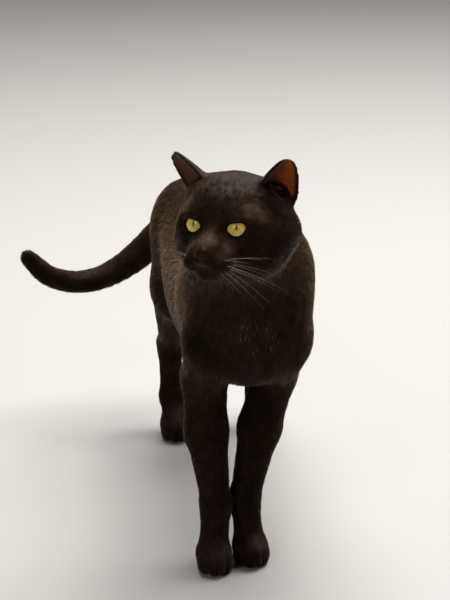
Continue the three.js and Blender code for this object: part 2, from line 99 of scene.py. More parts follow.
# One node: settings are its properties or input values, links are (input, node, output).
def add(material, kind, settings=None, links=None):
    node = material.node_tree.nodes.new(kind)
    for key, value in (settings or {}).items():
        if isinstance(key, str) and hasattr(node, key):
            setattr(node, key, value)
        else:
            node.inputs[key].default_value = value
    for key, source, output in links or []:
        material.node_tree.links.new(source.outputs[output], node.inputs[key])
    return node


# Sets a colour ramp's stops, each (place, hex colour).
def ramp(node, stops):
    elements = node.color_ramp.elements
    while len(elements) < len(stops):
        elements.new(1.0)
    for element, (place, colour) in zip(elements, stops):
        element.position = place
        element.color = linear(colour)
    return node


# Links one node's output to another's input.
def connect(material, source, output, target, key):
    material.node_tree.links.new(source.outputs[output], target.inputs[key])


# Rotation about X, then Y, then Z, in degrees.
def turned(x=0.0, y=0.0, z=0.0):
    a, b, c = np.radians([x, y, z])
    rx = np.array([[1, 0, 0], [0, math.cos(a), -math.sin(a)], [0, math.sin(a), math.cos(a)]])
    ry = np.array([[math.cos(b), 0, math.sin(b)], [0, 1, 0], [-math.sin(b), 0, math.cos(b)]])
    rz = np.array([[math.cos(c), -math.sin(c), 0], [math.sin(c), math.cos(c), 0], [0, 0, 1]])
    return rz @ ry @ rx


# The coordinates of (x, y, z) from a point, along the columns of axes.
def inAxes(point, axes, x, y, z):
    dx, dy, dz = x - point[0], y - point[1], z - point[2]
    return [dx * axes[0, i] + dy * axes[1, i] + dz * axes[2, i] for i in range(3)]


# An ellipsoid. With k = |p / r| and g = |p / r^2|, the value is k (k - 1) / g.
def egg(centre, radii, blend, axes=np.eye(3), cut=False):
    centre = np.asarray(centre, float)
    rx, ry, rz = radii
    reach = np.sqrt(((axes * np.array(radii, float)) ** 2).sum(1))

    def value(x, y, z):
        a, b, c = inAxes(centre, axes, x, y, z)
        near = np.sqrt((a / rx) ** 2 + (b / ry) ** 2 + (c / rz) ** 2)
        steep = np.sqrt((a / rx ** 2) ** 2 + (b / ry ** 2) ** 2 + (c / rz ** 2) ** 2)
        return near * (near - 1) / np.maximum(steep, 1e-6)

    return {"value": value, "low": centre - reach, "high": centre + reach, "blend": blend, "cut": cut}


# A round cone: the distance to the line at t, less the radius there, with x divided by wide.
def bone(start, end, startRadius, endRadius, blend, wide=1.0, cut=False):
    start, end = np.asarray(start, float), np.asarray(end, float)
    axis = end - start

    def value(x, y, z):
        dx, dy, dz = x - start[0], y - start[1], z - start[2]
        t = np.clip((dx * axis[0] + dy * axis[1] + dz * axis[2]) / (axis @ axis), 0, 1)
        across = (dx - t * axis[0]) / wide
        distance = np.sqrt(across ** 2 + (dy - t * axis[1]) ** 2 + (dz - t * axis[2]) ** 2)
        return distance - startRadius - t * (endRadius - startRadius)

    reach = max(startRadius, endRadius)
    low, high = np.minimum(start, end) - reach, np.maximum(start, end) + reach
    return {"value": value, "low": low, "high": high, "blend": blend, "cut": cut}


# A cubic through the rows of a table at place, with the slopes between neighbouring rows.
def alongTable(rows, place, column):
    at, level = rows[:, 0], rows[:, column]
    ends = np.clip(np.arange(len(at))[:, None] + [-1, 1], 0, len(at) - 1)
    slope = (level[ends[:, 1]] - level[ends[:, 0]]) / (at[ends[:, 1]] - at[ends[:, 0]])
    i = np.clip(np.searchsorted(at, place) - 1, 0, len(at) - 2)
    span = at[i + 1] - at[i]
    t = np.clip((place - at[i]) / span, 0, 1)
    ease = t * t * (3 - 2 * t)
    bend = t * (1 - t) ** 2 * slope[i] - t * t * (1 - t) * slope[i + 1]
    return (1 - ease) * level[i] + ease * level[i + 1] + span * bend


# The trunk: rounded sections along y, |dx / w|^p + |dz / h|^p = 1. Its value is held level near the
# sections' middles, where the formula has no slope to follow.
def barrel(sections, blend, power=2.2):
    rows = np.array(sections, float)
    front, rear = rows[0, 0], rows[-1, 0]

    def value(x, y, z):
        place = np.clip(y, front, rear)
        middle, belly, back, half, widening = [alongTable(rows, place, i) for i in range(1, 6)]
        height = (back - belly) / 2
        dx, dz = x - middle, z - (back + belly) / 2
        rise = dz / height
        width = half * (1 + widening * np.clip(rise, -1.2, 1.2))
        near = (np.abs(dx / width) ** power + np.abs(rise) ** power) ** (1 / power)
        level = np.sqrt(dx ** 2 + dz ** 2) * (1 - 1 / np.maximum(near, 0.01))
        level = np.where(near < 0.3, -0.7 * np.minimum(half, height), level)
        return np.where(y == place, level, np.sqrt(np.maximum(level, 0) ** 2 + (y - place) ** 2))

    widest = rows[:, 4].max() * 1.2
    low = np.array([-widest, front, rows[:, 2].min()])
    high = np.array([widest, rear, rows[:, 3].max()])
    return {"value": value, "low": low, "high": high, "blend": blend, "cut": False}


head = {
    "place": np.array([-24.5, -75.5, 301.6]),
    "turn": turned(-8.5, 0, -28.5),
    "nose": (0, -43.5, -22),
    "eye": (14.6, -17.5, 0.5),  # the left eyeball's middle
    "eyeRadius": 10.5,
    "tearDuct": (7.2, -27.5, -6),
    "eyeOutwards": 18,  # degrees from straight ahead
    "lidSlant": 9,  # degrees that the outer corner is raised
    "lidWidth": 14.6,
    "lidHeight": 10.3,
    "lidRim": 0.75,  # radius of the lids' rounded edge
    "gaze": {1: 0, -1: 14},  # degrees that each eye is turned to the left within its lids
}


# A point of the head, which has y backwards and z up along its own axes, in the cat's place.
def inHead(x, y, z):
    return head["place"] + head["turn"] @ np.array([x, y, z], float)


# A point given for the left side (1), or mirrored for the right (-1).
def onSide(side, point):
    return inHead(side * point[0], *point[1:])


# An egg placed and turned with the head.
def headEgg(centre, radii, blend, tilt=(0, 0, 0), cut=False):
    return egg(inHead(*centre), radii, blend, head["turn"] @ turned(*tilt), cut)


# The skull and its flesh, down the middle and then on each side.
def headForms():
    forms = [
        headEgg((0, 16, 6.2), (38, 38, 33), 12),  # braincase
        headEgg((0, -4, 7), (29, 26, 23), 12, (10, 0, 0)),  # forehead
        headEgg((0, -20, -19.5), (20.5, 23, 13.8), 9),  # muzzle
        headEgg((0, 4, -25), (29, 30, 15), 12),  # throat
        bone(inHead(0, -14, 1), inHead(0, -43, -18), 11.5, 6, 6),  # bridge of the nose
        headEgg(head["nose"], (7, 5.5, 5), 3),
        headEgg((0, -31.5, -33.5), (9, 8.5, 6.2), 5),  # chin
    ]
    for side in (1, -1):
        forms += [
            headEgg((side * 22, 13, -12), (22, 27, 25), 14),  # jowl
            headEgg((side * 16.5, -6, -3), (17, 20, 16.5), 10, (0, 0, side * 15)),  # cheekbone
            headEgg((side * 21, 13, 20.5), (14, 15, 12), 10),  # corner of the skull before the ear
            headEgg((side * 8.6, -33.5, -25.2), (10.2, 11.5, 8.4), 5, (0, 0, side * 24)),  # whisker pad
            headEgg((side * 14, -14, 8), (13, 10, 7.5), 7, (0, side * 12, side * 18)),  # brow
            headEgg((side * head["eye"][0], *head["eye"][1:]), (11.2, 11.2, 11.2), 3.5),  # lids
            headEgg((side * 23, 27, 17), (14, 12, 15), 9, (0, side * 35, 0)),  # muscle behind the ear
        ]
    return forms


trunkSections = [  # y, middle x, belly z, back z, half width, widening upwards
    (-30, 2, 172, 234, 22, 0.05),
    (-10, 2, 158, 253, 37, 0),
    (30, 1, 145, 262, 45, -0.04),
    (80, 0, 139, 257, 49, -0.08),
    (135, 0, 142, 251, 51, -0.1),
    (190, 0, 150, 252, 50, -0.08),
    (235, 0, 162, 256, 47, 0),
    (285, 0, 172, 255, 43, 0),
    (312, 0, 186, 242, 30, 0),
]
withers, crest = (2, 50, 214), (1, -12, 250)


# The trunk with its shoulder blades and haunches, then the neck and the front of the chest.
def bodyForms():
    forms = [barrel(trunkSections, 12)]
    for side in (1, -1):
        forms += [
            egg((side * 31.8 + 1.8, 14, 212), (15, 36, 48), 20, turned(-28, side * 10, 0)),  # shoulder blade
            egg((side * 23, 280, 195), (23.5, 46, 53), 22, turned(24, 0, 0)),  # haunch
        ]
    return forms + [
        bone(withers, crest, 45, 45, 24),
        bone(crest, inHead(0, 22, -10), 45, 37, 20),
        headEgg((33, 29, -3), (15, 15, 16), 14),  # side of the neck, drawn up as the head turns
        egg((1.5, -20, 207), (41.5, 33, 49), 24, turned(8, 0, 0)),  # front of the chest
    ]


foreJoints = {
    "right": {"shoulder": (-29.5, -10, 190), "elbow": (-31, 20, 152), "forearm": (-30.5, 12, 108),
              "wrist": (-24.4, -2, 50), "foot": (-27.5, -12, 14)},
    "left": {"shoulder": (27.5, -10, 190), "elbow": (26.3, 22, 153), "forearm": (13.8, 17, 108),
             "wrist": (0.4, 8, 50), "foot": (3.5, 0, 14)},
}
hindJoints = {
    "right": {"hip": (-21, 272, 206), "knee": (-29.5, 242, 158), "calf": (-29.5, 260, 156),
              "hock": (-30, 324, 84), "ankle": (-30, 311, 34), "foot": (-28.5, 295, 14)},
    "left": {"hip": (23, 270, 206), "knee": (38, 240, 158), "calf": (38, 258, 156),
             "hock": (50, 322, 84), "ankle": (53, 310, 34), "foot": (54, 293, 14)},
}
# Limbs: from joint, to joint, the radius at each, the blend, and the width across.
foreLimbs = [("shoulder", "elbow", 24.5, 20, 14, 0.92), ("elbow", "forearm", 19.8, 18.2, 8, 0.95),
             ("forearm", "wrist", 18.2, 12.6, 8, 0.96), ("wrist", "foot", 12.5, 12, 8)]
hindLimbs = [("hip", "knee", 34, 25, 18, 0.78), ("calf", "hock", 28, 12, 18, 0.85),
             ("hock", "ankle", 11.8, 11.2, 12), ("ankle", "foot", 11.2, 11.5, 8)]
legs = [(joints, foreLimbs) for joints in foreJoints.values()]
legs += [(joints, hindLimbs) for joints in hindJoints.values()]


# A leg's limbs, its paw and four toes, of which the middle two stand forward.
def legForms(joints, limbs):
    x, y, _ = joints["foot"]
    forms = [bone(joints[start], joints[end], *rest) for start, end, *rest in limbs]
    forms.append(egg((x, y - 4, 11), (14.5, 21, 13), 8))
    for across in (-10, -3.7, 3.7, 10):
        back = 5 if abs(across) > 5 else 0
        forms.append(egg((x + across, y - 19 + back, 9), (5, 9, 9), 2.5, turned(12, 0, -across * 1.2)))
    return forms


tail = {
    "rows": np.array([  # number, x, y, z, radius from the rump to the tip
        (0, 0, 306, 222, 24), (1, -1, 330, 227, 18), (2, -10, 352, 213, 16), (3, -26, 366, 190, 15.4),
        (4, -44, 374, 168.5, 15), (5, -66, 376, 149.5, 13.6), (6, -92, 372, 137, 12),
        (7, -118, 364, 135.6, 11.3), (8, -143, 354, 145.5, 10.6), (9, -162, 345, 165.5, 9)], float),
    "steps": 28,  # lengths that it is drawn in
}


# The tail's centres and radii at even steps along its table.
def tailLine():
    rows = tail["rows"]
    place = np.linspace(0, len(rows) - 1, tail["steps"] + 1)
    return np.stack([alongTable(rows, place, i) for i in range(1, 5)], 1)


# The tail's lengths as round cones, blended wider near the rump.
def tailForms():
    line = tailLine()
    return [bone(here[:3], after[:3], here[3], after[3], 10 if i < 5 else 3)
            for i, (here, after) in enumerate(zip(line[:-1], line[1:]))]


# The right ear (-1) is turned back a little, so its cup is opened flatter than the left one's (1).
ear = {
    "thickness": 2.3,
    "halfWidth": {1: 20.5, -1: 19},
    "taper": {1: 0.38, -1: 0.26},
    "depth": {1: 14.5, -1: 9.8},
    "roots": {1: (30, 17, 19), -1: (-27.5, 15, 21)},
    "tips": {1: (42, 7, 50.5), -1: (-51.5, 12, 48)},
    "facing": {1: 50, -1: 54},  # degrees outwards from straight ahead
    # centre and radii of an egg cut from the cup and of one that fills its foot, across, up and out
    "hollow": {1: ((2, 12, 1), (7, 9, 3)), -1: ((-1, 3, 2), (6, 9, 3))},
    "floor": {1: ((4, 0, -5), (10, 9, 8)), -1: ((-4, -4, -3), (7, 7, 5))},
    "buried": 10,  # mm of the sheet below its root
}


# The ear's root, its length, and its axes across, up and open as columns.
def earAxes(side):
    root, tip = inHead(*ear["roots"][side]), inHead(*ear["tips"][side])
    length = np.linalg.norm(tip - root)
    up = (tip - root) / length
    facing = math.radians(ear["facing"][side])
    opening = head["turn"] @ np.array([side * math.sin(facing), -math.cos(facing), 0])
    opening = unit(opening - up * (opening @ up))
    return root, length, np.stack([np.cross(up, opening), up, opening], 1)


# Half width W sqrt(1 - t^3) (1 - taper t) (1 - 0.45 (1 - t / 0.4)^2) + 0.6 and bow D (1 - t^1.5) + 1.2
# of an ear at height t.
def earSection(side, t):
    narrowed = 1 - 0.45 * np.maximum(1 - t / 0.4, 0) ** 2
    width = ear["halfWidth"][side] * np.sqrt(1 - t ** 3) * (1 - ear["taper"][side] * t) * narrowed + 0.6
    return width, ear["depth"][side] * (1 - t ** 1.5) + 1.2


# The corners of a box round an ear and its buried foot.
def earCorners(side):
    root, length, axes = earAxes(side)
    half, depth = ear["halfWidth"][side], ear["depth"][side]
    return np.array([root + axes @ np.array([across * half, up, ahead]) for across in (-1, 1)
                     for up in (-ear["buried"], length) for ahead in (-depth - 2, 2)])


# Places on an ear: how far from its sheet, how far inside its cup, the share of the way round to a rim
# (1 at the left rim, -1 at the right) and the height above the root. A section is an arc of radius
# R = (w^2 + d^2) / 2d through both rims, with w its half width and d its bow.
def onEar(side, x, y, z):
    root, length, axes = earAxes(side)
    a, b, c = inAxes(root, axes, x, y, z)
    t = np.clip((b + ear["buried"]) / (length + ear["buried"]), 0, 1)
    width, bow = earSection(side, t)
    radius = (width ** 2 + bow ** 2) / (2 * bow)
    behind = radius - bow - c
    reach = np.sqrt(a * a + behind ** 2)
    share = np.arctan2(np.abs(a), behind) / np.arccos(1 - bow / radius)
    toRim = np.sqrt((np.abs(a) - width) ** 2 + c * c)
    away = np.where(share <= 1, np.abs(reach - radius), toRim)
    return away, radius - reach, share * np.sign(a), b


# An ear: a sheet of even thickness with rounded ends, at the tip and at the buried foot.
def earForm(side, blend=3.5):
    length = earAxes(side)[1]

    def value(x, y, z):
        away, _, _, up = onEar(side, x, y, z)
        level = away - ear["thickness"] / 2
        for edge in (up - length + 0.3, -up - ear["buried"]):
            level = -softMin(-level, -edge, 1.4)
        return level

    corners = earCorners(side)
    return {"value": value, "low": corners.min(0), "high": corners.max(0), "blend": blend, "cut": False}


# The lower of two values, rounded where they are within width of each other.
def softMin(a, b, width):
    h = np.clip(0.5 + 0.5 * (b - a) / width, 0, 1)
    return b + (a - b) * h - width * h * (1 - h)


# A form's value joined to the level so far, or cut from it.
def joined(level, form, here):
    return -softMin(-level, here, form["blend"]) if form["cut"] else softMin(level, here, form["blend"])


# The forms' joined value on a grid of planes, each form worked out only near its own box.
def onGrid(forms, axes, level=None):
    if level is None:
        level = np.full([len(a) for a in axes], 40.0, np.float32)
    for form in forms:
        margin = form["blend"] + 6
        part = tuple(slice(*np.searchsorted(a, [form["low"][i] - margin, form["high"][i] + margin]))
                     for i, a in enumerate(axes))
        x, y, z = [a[s] for a, s in zip(axes, part)]
        if min(len(x), len(y), len(z)) == 0:
            continue
        here = form["value"](x[:, None, None], y[None, :, None], z[None, None, :])
        level[part] = joined(level[part], form, here.astype(np.float32))
    return level


noseTip = inHead(0, -47, -21)  # the face's hairs lie away from here


# Streams say how the coat lies. Each is a stretch of the body from start to end with a radius, the
# coat's direction there (None is away from the nose), the tufts' length, width and spacing, the
# coat's depth, and the coat piece that it belongs to.
def stream(piece, start, end, radius, flow, length, width, depth, spacing):
    return {"piece": piece, "start": np.array(start, float), "end": np.array(end, float), "radius": radius,
            "flow": None if flow is None else unit(flow),
            "length": length, "width": width, "depth": depth, "spacing": spacing}


# The head's coat: down the face from the nose, over the crown and cheeks, and up the ears.
def headStreams():
    found = [
        stream("coatFace", inHead(0, -43, -20), inHead(0, -32, -24), 12, None, 1.9, 0.42, 0.45, 0.68),
        stream("coatFace", inHead(0, -40, -10), inHead(0, -14, 12), 9, None, 2.0, 0.42, 0.45, 0.7),
        stream("coatFace", inHead(0, -36, -31), inHead(0, -20, -32), 9, None, 2.6, 0.45, 0.8, 0.75),
        stream("coatCrown", inHead(0, -6, 14), inHead(0, 10, 18), 24, None, 3.6, 0.5, 1.0, 0.8),
        stream("coatCrown", inHead(0, 26, 6), inHead(0, 34, 2), 30, head["turn"] @ np.array([0, 1, -0.4]),
               6.5, 0.65, 2.2, 0.95),
    ]
    for side in (1, -1):
        root, length, axes = earAxes(side)
        up = axes[:, 1]
        found += [
            stream("coatFace", inHead(side * 15, -22, 0), inHead(side * 15, -14, 0), 9, None,
                   1.6, 0.38, 0.3, 0.64),
            stream("coatCheeks", inHead(side * 24, -8, -12), inHead(side * 26, 14, -12), 18, None,
                   5, 0.55, 1.5, 0.88),
            stream("coatEars", root + up * 2, root + up * (length - 8), 15, up, 1.6, 0.38, 0.3, 0.66),
        ]
    return found


# The body's coat: back along the trunk, down the chest and sides.
def bodyStreams():
    found = [
        stream("coatNeck", inHead(0, 38, 8), (1, 30, 246), 24, (0, 1, -0.55), 8, 0.7, 2.1, 1.08),
        stream("coatChest", inHead(0, -4, -34), (1, -44, 225), 18, (0, 0.1, -1), 8, 0.7, 2.2, 1.08),
        stream("coatChest", (1, -40, 225), (1, -28, 165), 26, (0, 0.1, -1), 9, 0.72, 2.5, 1.1),
        stream("coatBack", (0, 50, 240), (0, 296, 228), 24, (0, 1, -0.06), 9, 0.75, 2.3, 1.15),
        stream("coatBack", (0, 300, 228), (-1, 330, 226), 16, (0, 1, -0.5), 8, 0.75, 2.2, 1.15),
        stream("coatBelly", (0, 50, 160), (0, 240, 176), 20, (0, 1, -0.15), 12, 0.8, 3.3, 1.25),
    ]
    for side, name in ((1, "Left"), (-1, "Right")):
        found += [
            stream("coatNeck", inHead(side * 26, 26, -14), (side * 34, 10, 215), 18, (0, 0.7, -0.75),
                   8, 0.7, 2.1, 1.08),
            stream("coatFlank" + name, (side * 34, 0, 225), (side * 32, 20, 175), 18, (0, 0.45, -1),
                   8, 0.72, 2.1, 1.12),
            stream("coatFlank" + name, (side * 32, 50, 200), (side * 30, 240, 200), 22, (0, 1, -0.4),
                   9, 0.75, 2.3, 1.15),
            stream("coatHaunch" + name, (side * 28, 270, 215), (side * 34, 262, 170), 24, (0, 0.6, -0.8),
                   8, 0.72, 2.1, 1.12),
        ]
    return found


# The legs' coat: down each limb and forward over the toes.
def legStreams():
    found = []
    for name in ("right", "left"):
        piece, joints = "coatForeleg" + name.capitalize(), foreJoints[name]
        found += [
            stream(piece, joints["shoulder"], joints["elbow"], 20, (0, 0.2, -1), 7.5, 0.7, 2.3, 1.1),
            stream(piece, joints["elbow"], joints["wrist"], 14, (0, 0.15, -1), 5, 0.6, 1.5, 0.95),
            stream(piece, joints["wrist"], joints["foot"], 11, (0, -0.1, -1), 3.2, 0.5, 1.0, 0.82),
            toeStream(piece, joints["foot"]),
        ]
        piece, joints = "coatHindleg" + name.capitalize(), hindJoints[name]
        found += [
            stream(piece, joints["calf"], joints["hock"], 16, (0, 0.5, -0.9), 6, 0.65, 1.9, 1.05),
            stream(piece, joints["hock"], joints["ankle"], 11, (0, -0.1, -1), 3.8, 0.55, 1.2, 0.88),
            toeStream(piece, joints["foot"]),
        ]
    return found


# The short coat over a paw.
def toeStream(piece, foot):
    x, y, _ = foot
    return stream(piece, (x, y - 8, 13), (x, y - 22, 10), 11, (0, -0.8, -0.6), 2.2, 0.42, 0.7, 0.74)


# The tail's hairs shorten from the rump to the tip.
def tailStreams():
    line = tailLine()[:, :3]
    radii = tailLine()[::3, 3] - 2
    places = line[::3]
    found = [stream("coatTail", here, after, radii[i], after - here, 8 - i * 0.25, 0.72, 2.4, 1.1)
             for i, (here, after) in enumerate(zip(places[:-1], places[1:]))]
    return found + [stream("coatTail", line[-2], line[-1], 9, line[-1] - line[-2], 6, 0.65, 2.0, 1.0)]


streams = headStreams() + bodyStreams() + legStreams() + tailStreams()


# The way to each point from the nearest place on a line.
def fromLine(points, start, end):
    axis = end - start
    t = np.clip((points - start) @ axis / (axis @ axis), 0, 1)
    return points - start - t[:, None] * axis


# Distance of points from a stream's line, less its radius; weight is 1 / (distance + 3)^3.
def streamWeight(row, points):
    distance = np.linalg.norm(fromLine(points, row["start"], row["end"]), axis=1) - row["radius"]
    return 1 / (np.maximum(distance, 0) + 3) ** 3, distance


# The streams' numbers at points, blended by weight, and the nearest stream's number in the list.
def blended(points, keys):
    total = np.zeros(len(points))
    sums = {key: np.zeros((len(points), 3) if key == "flow" else len(points)) for key in keys}
    nearest, best = np.zeros(len(points), int), np.full(len(points), np.inf)
    away = unit(points - noseTip)
    for i, row in enumerate(streams):
        weight, distance = streamWeight(row, points)
        total += weight
        closer = distance < best
        nearest[closer], best[closer] = i, distance[closer]
        for key in keys:
            if key == "flow":
                sums[key] += weight[:, None] * (away if row["flow"] is None else row["flow"])
            else:
                sums[key] += weight * row[key]
    for key in keys:
        sums[key] /= total[:, None] if key == "flow" else total
    return sums, nearest


# The skin's own details: lids, nostrils, mouth and the hollows of the ears.

# An eye's middle, and its axes: across, backwards and up.
def eyeAxes(side):
    return onSide(side, head["eye"]), head["turn"] @ turned(0, 0, side * head["eyeOutwards"])


# Places around an eye in its axes turned to the lids' slant, and how far outside the lids' opening they
# are when brought onto the ball: |z| less rise times 0.78 (1 - s^4.4) above and 1.12 (1 - s^2.3) below,
# with s = |x| / half, and beyond the corners the distance from them.
def opening(side, x, y, z):
    middle, axes = eyeAxes(side)
    axes = axes @ turned(0, -side * head["lidSlant"], 0)
    a, b, c = inAxes(middle, axes, x, y, z)
    onBall = head["eyeRadius"] / np.maximum(np.sqrt(a * a + b * b + c * c), 1)
    across, up = a * onBall, c * onBall
    half, rise = head["lidWidth"] / 2, head["lidHeight"] / 2
    share = np.minimum(np.abs(across) / half, 1)
    lift = rise * np.where(up > 0, 0.78 * (1 - share ** 4.4), 1.12 * (1 - share ** 2.3))
    beyond = np.sqrt((np.abs(across) - half) ** 2 + up ** 2)
    edge = np.where(np.abs(across) < half, np.abs(up) - lift, beyond)
    return 0.85 * edge, a, b, c


# A form of the eye's own, worked out within reach of its middle.
def aroundEye(side, reach, blend, value, cut=False):
    middle, _ = eyeAxes(side)
    return {"value": value, "low": middle - reach, "high": middle + reach, "blend": blend, "cut": cut}


# The lids: a socket cut back round the ball, a shell over it, a rounded rim, and the hole between them.
def eyeDetails(side):
    middle, _ = eyeAxes(side)
    half, rise = head["lidWidth"] / 2, head["lidHeight"] / 2
    lidRadius = head["eyeRadius"] + head["lidRim"]

    def rim(x, y, z):
        edge, a, b, c = opening(side, x, y, z)
        ring = np.sqrt(edge ** 2 + (np.sqrt(a * a + b * b + c * c) - lidRadius) ** 2) - head["lidRim"]
        return np.where(b < 0, ring, 5.0)

    def socket(x, y, z):
        _, a, b, c = opening(side, x, y, z)
        outside = np.maximum(np.sqrt((a / half) ** 2 + (c / rise) ** 2) - 1, 0)
        limit = lidRadius + 0.7 + 9 * outside ** 2
        return np.where(b < 0, limit - np.sqrt(a * a + b * b + c * c), 9.0)

    def hole(x, y, z):
        edge, _, b, _ = opening(side, x, y, z)
        return np.maximum(edge + 0.25, b + 4)

    return [
        aroundEye(side, 19, 2.5, socket, cut=True),
        egg(middle, [lidRadius] * 3, 1.5),
        aroundEye(side, 14, 0.8, rim),
        aroundEye(side, 17, 0.5, hole, cut=True),
    ]


# Round grooves cut along a line of the head's points.
def grooves(points, radius, blend):
    return [bone(inHead(*start), inHead(*end), radius, radius, blend, cut=True)
            for start, end in zip(points[:-1], points[1:])]


mouth = {
    "split": [(0, -48.5, -25), (0, -46, -27.6), (0, -43, -30.4)],
    "lips": [(0, -43, -30.4), (5, -42.1, -32.1), (10.3, -38.3, -32.8), (14.6, -32, -31.9),
             (17.4, -25, -29)],
}


# The mouth's line, the nostrils and their slits, the lids, and the ears with their hollows.
def faceDetails():
    forms = grooves(mouth["split"], 0.5, 1.2)
    for side in (1, -1):
        forms += grooves([(side * x, y, z) for x, y, z in mouth["lips"]], 0.55, 1.4)
        forms += [
            headEgg((side * 3.1, -48.2, -22.7), (1.5, 2.2, 1.1), 0.9, (0, side * 25, side * 20), cut=True),
            headEgg((side * 4.9, -46.6, -22.1), (1.5, 1.5, 0.7), 0.8, (0, side * -15, side * 30), cut=True),
        ]
        forms += eyeDetails(side)
        forms.append(earForm(side))
        root, _, axes = earAxes(side)
        for key in ("floor", "hollow"):
            centre, radii = ear[key][side]
            forms.append(egg(root + axes @ np.array(centre), radii, 5, axes, cut=key == "hollow"))
    return forms


skinShape = {
    "coarse": 3.3,  # mm between the grid's planes on the body
    "head": 1.6,
    "eyes": 0.8,  # and round the nose and mouth
    "growth": 0.26,  # mm added to a step for each mm away from the finer places
    "low": (-176, -130, -1),
    "high": (78, 396, 356),
    "headBox": ((-40, 40), (-48, 30), (-34, 34)),
    "eyeBox": ((7, 22), (-26, -20), (-7, 7)),
    "noseBox": ((-6, 6), (-47, -47), (-32, -17)),
    "coatReach": 7,  # mm from the surface that the coat's depth is worked out to
}


# Planes from low to high, closer together inside the zones: step = min over zones of its own step
# plus growth times the distance from it.
def planes(low, high, zones):
    places = [low]
    while places[-1] < high:
        at = places[-1]
        steps = [step + skinShape["growth"] * max(start - at, at - end, 0) for start, end, step in zones]
        places.append(at + min([skinShape["coarse"], *steps]))
    return np.array(places)


# The eight corners of a box given by its lowest and highest x, y and z.
def boxCorners(box):
    return [(x, y, z) for x in box[0] for y in box[1] for z in box[2]]


# The grid's planes across, along and up, fine on the head and finest on the face.
def skinAxes():
    headPoints = [inHead(*corner) for corner in boxCorners(skinShape["headBox"])]
    headPoints = np.concatenate([headPoints, earCorners(1), earCorners(-1)])
    facePoints = [onSide(side, corner) for side in (1, -1) for corner in boxCorners(skinShape["eyeBox"])]
    facePoints = np.array(facePoints + [inHead(*corner) for corner in boxCorners(skinShape["noseBox"])])
    return [planes(skinShape["low"][i], skinShape["high"][i], [
        (headPoints[:, i].min(), headPoints[:, i].max(), skinShape["head"]),
        (facePoints[:, i].min(), facePoints[:, i].max(), skinShape["eyes"]),
    ]) for i in range(3)]


# The whole cat's level on the grid, drawn in by the coat's depth, with the details joined on. Each leg
# is joined to the body by itself, so that the forelegs don't melt together. The soles end on the floor.
def skinLevel(axes):
    core = onGrid(bodyForms() + tailForms() + headForms(), axes)
    level = core.copy()
    for joints, limbs in legs:
        level = np.minimum(level, onGrid(legForms(joints, limbs), axes, core.copy()))
    near = np.argwhere(np.abs(level) < skinShape["coatReach"])
    points = np.stack([axis[near[:, i]] for i, axis in enumerate(axes)], 1)
    depth, _ = blended(points, ["depth"])
    level[tuple(near.T)] += depth["depth"]
    level = onGrid(faceDetails(), axes, level)
    below = -axes[2][None, None, :]
    return np.maximum(level, below.astype(np.float32) + 0.01)


cellCorners = [(i, j, k) for i in (0, 1) for j in (0, 1) for k in (0, 1)]


# The cells that the zero level crosses, and each one's number on the grid (-1 for the others).
def crossedCells(inside):
    nx, ny, nz = np.array(inside.shape) - 1
    count = sum(inside[i:i + nx, j:j + ny, k:k + nz].astype(np.int8) for i, j, k in cellCorners)
    mixed = (count > 0) & (count < 8)
    cells = np.argwhere(mixed)
    number = np.full(mixed.shape, -1, np.int64)
    number[mixed] = np.arange(len(cells))
    return cells, number


# One point in each crossed cell: the mean of the places where the level is zero along its edges.
def netPoints(level, axes, cells):
    total, crossings = np.zeros((len(cells), 3)), np.zeros(len(cells))
    for corner in cellCorners:
        for axis in range(3):
            if corner[axis]:
                continue
            start = cells + corner
            end = start.copy()
            end[:, axis] += 1
            a, b = level[tuple(start.T)], level[tuple(end.T)]
            crossed = (a < 0) != (b < 0)
            t = np.where(crossed, a / np.where(a == b, 1, a - b), 0)
            for n in range(3):
                low, high = axes[n][start[:, n]], axes[n][end[:, n]]
                total[:, n] += np.where(crossed, low + t * (high - low), 0)
            crossings += crossed
    return total / crossings[:, None]


# One four-sided face round each crossed edge, through the points of the four cells at it, facing out.
def netFaces(inside, number):
    shape = np.array(inside.shape) - 1
    quads = []
    for axis in range(3):
        b, c = (axis + 1) % 3, (axis + 2) % 3
        before, after = [slice(None)] * 3, [slice(None)] * 3
        before[axis], after[axis] = slice(0, -1), slice(1, None)
        edges = np.argwhere(inside[tuple(before)] != inside[tuple(after)])
        edges = edges[(edges[:, b] > 0) & (edges[:, c] > 0)
                      & (edges[:, b] < shape[b]) & (edges[:, c] < shape[c])]
        ring = []
        for stepB, stepC in ((-1, -1), (0, -1), (0, 0), (-1, 0)):
            cell = edges.copy()
            cell[:, b] += stepB
            cell[:, c] += stepC
            ring.append(number[tuple(cell.T)])
        ring = np.stack(ring, 1)
        quads.append(np.where(inside[tuple(edges.T)][:, None], ring, ring[:, ::-1]))
    return np.concatenate(quads)


# Surface nets: the points and faces of the level's zero surface.
def surfaceNet(level, axes):
    inside = level < 0
    cells, number = crossedCells(inside)
    return netPoints(level, axes, cells), netFaces(inside, number)


# 0 up to low, 1 from high, and 3 t^2 - 2 t^3 between them.
def smoothStep(value, low, high):
    t = np.clip((value - low) / (high - low), 0, 1)
    return t * t * (3 - 2 * t)


# Lighter patches on each side of the head, and how far round: two where the coat is sparser between the eye
# and the ear, one below the inner corner of the eye, and a painted highlight on the bridge of the nose that
# stands in for the light from above falling there.
thinCoat = [((25.4, -18.8, 12.5), 11), ((31, -14, 7), 8), ((14.1, -31.2, -12.5), 8), ((2, -38, -9), 8)]


# The nose's leather: a patch between its top edge, which dips to the sides, and the lip, narrower below.
def leatherMask(a, b, c):
    wide = 5.4 - np.clip((-21.0 - c) * 0.5, 0, 5)
    sides = smoothStep(-b, 43.0, 44.2) * smoothStep(-np.abs(a), -wide - 0.6, -wide + 0.4)
    return sides * smoothStep(c, -26.9, -25.4) * smoothStep(-c - 0.05 * a * a, 17.2, 18.4)


